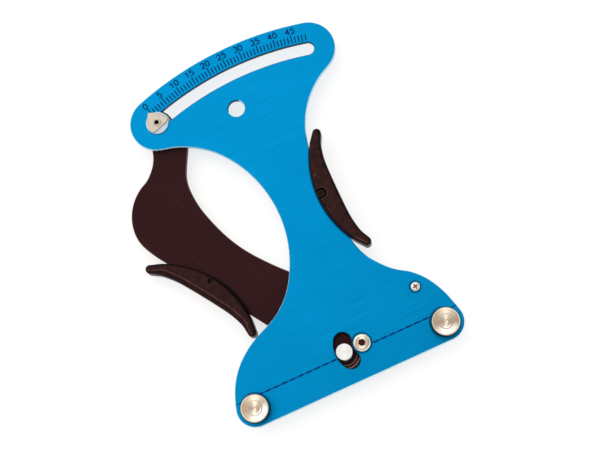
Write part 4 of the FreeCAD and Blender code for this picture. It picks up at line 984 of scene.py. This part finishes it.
def cutter(name, low, high, radius=None):
    """A block, or an upright cylinder about the middle of one, as a hidden cutting object."""
    mesh = bmesh.new()
    middle = Matrix.Translation((low + high) / 2)
    extent = high - low
    if radius:
        bmesh.ops.create_cone(mesh, cap_ends=True, segments=CUTTER_SIDES, radius1=radius, radius2=radius,
                              depth=extent.z, matrix=middle)
    else:
        bmesh.ops.create_cube(mesh, size=1.0, matrix=middle @ Matrix.Diagonal((*extent, 1)))
    made = bpy.data.objects.new(name, finished_mesh(name, mesh))
    bpy.context.scene.collection.objects.link(made)
    return made


def upright(place, radius, low, high):
    """A cylinder cutter about an upright axis between two levels."""
    return cutter("round_cutter", Vector((place.x, place.y, low)), Vector((place.x, place.y, high)), radius)


def grip_mesh(name, half, held):
    """A grip with its slot for a plate's edge, its screw hole, recess and moulding marks."""
    blank = bpy.data.objects.new(name, finished_mesh(name, grip_blank(half)))
    bpy.context.scene.collection.objects.link(blank)
    axis = Vector((0, 0, 0))
    cutters = [
        cutter("slot_cutter", Vector((-GRIP_BULGE - OVERRUN, -2 * GRIP_HALF, -held / 2)),
               Vector((SLOT_DEPTH, 2 * GRIP_HALF, held / 2))),
        upright(axis, SCREW_HOLE, -half - OVERRUN, half + OVERRUN),
        upright(axis, RECESS_RADIUS, half - RECESS_DEPTH, half + OVERRUN),
        upright(EJECTOR_PLACE, EJECTOR_RADIUS, half - MARK_DEPTH, half + OVERRUN),
        upright(GATE_PLACE, GATE_RADIUS, half - MARK_DEPTH, half + OVERRUN),
    ]
    for made in cutters:
        cut = blank.modifiers.new("cut", "BOOLEAN")
        cut.object = made
        cut.operation = "DIFFERENCE"
        cut.solver = "EXACT"
    bpy.context.view_layer.update()
    mesh = bpy.data.meshes.new_from_object(blank.evaluated_get(bpy.context.evaluated_depsgraph_get()))
    mesh.name = name
    for made in cutters + [blank]:
        bpy.data.objects.remove(made)
    mesh.shade_smooth()
    mesh.set_sharp_from_angle(angle=SHARP_EDGE)
    return mesh


for side, body, held_by in (("right", "frame", "front_plate"), ("left", "lever", "lever_plate")):
    low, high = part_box(f"grip_{side}")
    held_low, held_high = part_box(held_by)
    shell = grip_mesh(f"grip_shell_{side}", (high.z - low.z) / 2, held_high.z - held_low.z)
    seat = centre_of(f"grip_screw_{side}")
    seat.z = (low.z + high.z) / 2
    shell.transform(Matrix.Translation(seat) @ GRIP_TURNS[side])
    shell.update()
    grip = new_piece(f"grip_shell_{side}", shell, plastics[side], body)
    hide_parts(f"grip_{side}")


# Floor, light and camera

FLOOR_LEVEL = cad_box[0].z - 0.1 * MM
FLOOR_HALF = 12.0
FLOOR_COLOR = (0.40, 0.39, 0.375, 1)
FLOOR_GLOW = 0.72


def floor_material():
    """Pale floor that stays white to the camera and in reflections, and keeps shadows."""
    material = bpy.data.materials.new("floor")
    material.use_nodes = True
    tree = material.node_tree
    tree.nodes.clear()
    rays = new_node(tree, "ShaderNodeLightPath").outputs
    seen = rays["Is Camera Ray"]
    for kind in ("Is Glossy Ray", "Is Transmission Ray"):
        seen = new_node(tree, "ShaderNodeMath", {0: seen, 1: rays[kind]}, operation="MAXIMUM").outputs[0]
    glow = new_node(tree, "ShaderNodeEmission", {"Strength": FLOOR_GLOW})
    no_glow = new_node(tree, "ShaderNodeEmission", {"Strength": 0.0})
    chosen = new_node(tree, "ShaderNodeMixShader", {0: seen, 1: no_glow.outputs[0], 2: glow.outputs[0]})
    diffuse = new_node(tree, "ShaderNodeBsdfDiffuse", {"Color": FLOOR_COLOR})
    both = new_node(tree, "ShaderNodeAddShader", {0: diffuse.outputs[0], 1: chosen.outputs[0]})
    new_node(tree, "ShaderNodeOutputMaterial", {"Surface": both.outputs[0]})
    return material


floor_mesh = bpy.data.meshes.new("floor")
corners = [(sx * FLOOR_HALF, sy * FLOOR_HALF, FLOOR_LEVEL) for sx, sy in ((-1, -1), (1, -1), (1, 1), (-1, 1))]
floor_mesh.from_pydata(corners, [], [(0, 1, 2, 3)])
floor = bpy.data.objects.new("floor", floor_mesh)
bpy.context.scene.collection.objects.link(floor)
floor_mesh.materials.append(floor_material())

# The camera looks down at the plate, tilted and rolled as in the photograph
CAMERA_TILT = math.radians(13.3)
CAMERA_ROLL = math.radians(24.45)
CAMERA_PLACE = Vector((7.3148, -97.84, 774.14)) * MM
FOCAL_PIXELS = 1277.602
IMAGE_WIDTH = 600
SENSOR = 36.0

flat_up = Vector((0, math.cos(CAMERA_TILT), math.sin(CAMERA_TILT)))
back = Vector((0, -math.sin(CAMERA_TILT), math.cos(CAMERA_TILT)))
right = Vector((math.cos(CAMERA_ROLL), 0, 0)) - flat_up * math.sin(CAMERA_ROLL)
up = Vector((math.sin(CAMERA_ROLL), 0, 0)) + flat_up * math.cos(CAMERA_ROLL)
camera_data = bpy.data.cameras.new("camera")
camera_data.sensor_width = SENSOR
camera_data.lens = FOCAL_PIXELS / IMAGE_WIDTH * SENSOR
camera = bpy.data.objects.new("camera", camera_data)
bpy.context.scene.collection.objects.link(camera)
camera.matrix_world = Matrix.Translation(CAMERA_PLACE) @ Matrix((right, up, back)).transposed().to_4x4()
bpy.context.scene.camera = camera

LAMP_AIM = Vector((0.0, 0.09, 0.0))


def soft_lamp(name, direction, distance, size, power):
    """A square area lamp that points at the object from a direction in the picture."""
    data = bpy.data.lights.new(name, "AREA")
    data.shape = "SQUARE"
    data.size = size
    data.energy = power
    lamp = bpy.data.objects.new(name, data)
    bpy.context.scene.collection.objects.link(lamp)
    across, over, toward = direction
    way = (right * across + up * over + back * toward).normalized()
    turn = way.to_track_quat("Z", "Y").to_matrix().to_4x4()
    lamp.matrix_world = Matrix.Translation(LAMP_AIM + way * distance) @ turn


soft_lamp("key", direction=(-0.62, 0.72, 1.0), distance=1.3, size=1.7, power=10.6)
soft_lamp("fill", direction=(0.7, -0.2, 1.1), distance=1.4, size=1.2, power=1.4)

# World: white at the horizon and grey overhead
world = bpy.data.worlds.new("studio")
bpy.context.scene.world = world
world.use_nodes = True
sky = world.node_tree
place = new_node(sky, "ShaderNodeTexCoord")
parts = new_node(sky, "ShaderNodeSeparateXYZ", {0: place.outputs["Generated"]})
shade = new_node(sky, "ShaderNodeValToRGB", {0: parts.outputs["Z"]})
horizon, zenith = shade.color_ramp.elements
horizon.position = 0.22
horizon.color = (1.0, 1.0, 1.0, 1)
zenith.position = 0.9
zenith.color = (0.50, 0.50, 0.50, 1)
shade.color_ramp.elements.new(0.55).color = (0.42, 0.42, 0.43, 1)
background = sky.nodes["Background"]
background.inputs["Strength"].default_value = 1.0
sky.links.new(shade.outputs[0], background.inputs["Color"])

bpy.context.scene.view_settings.view_transform = "Standard"
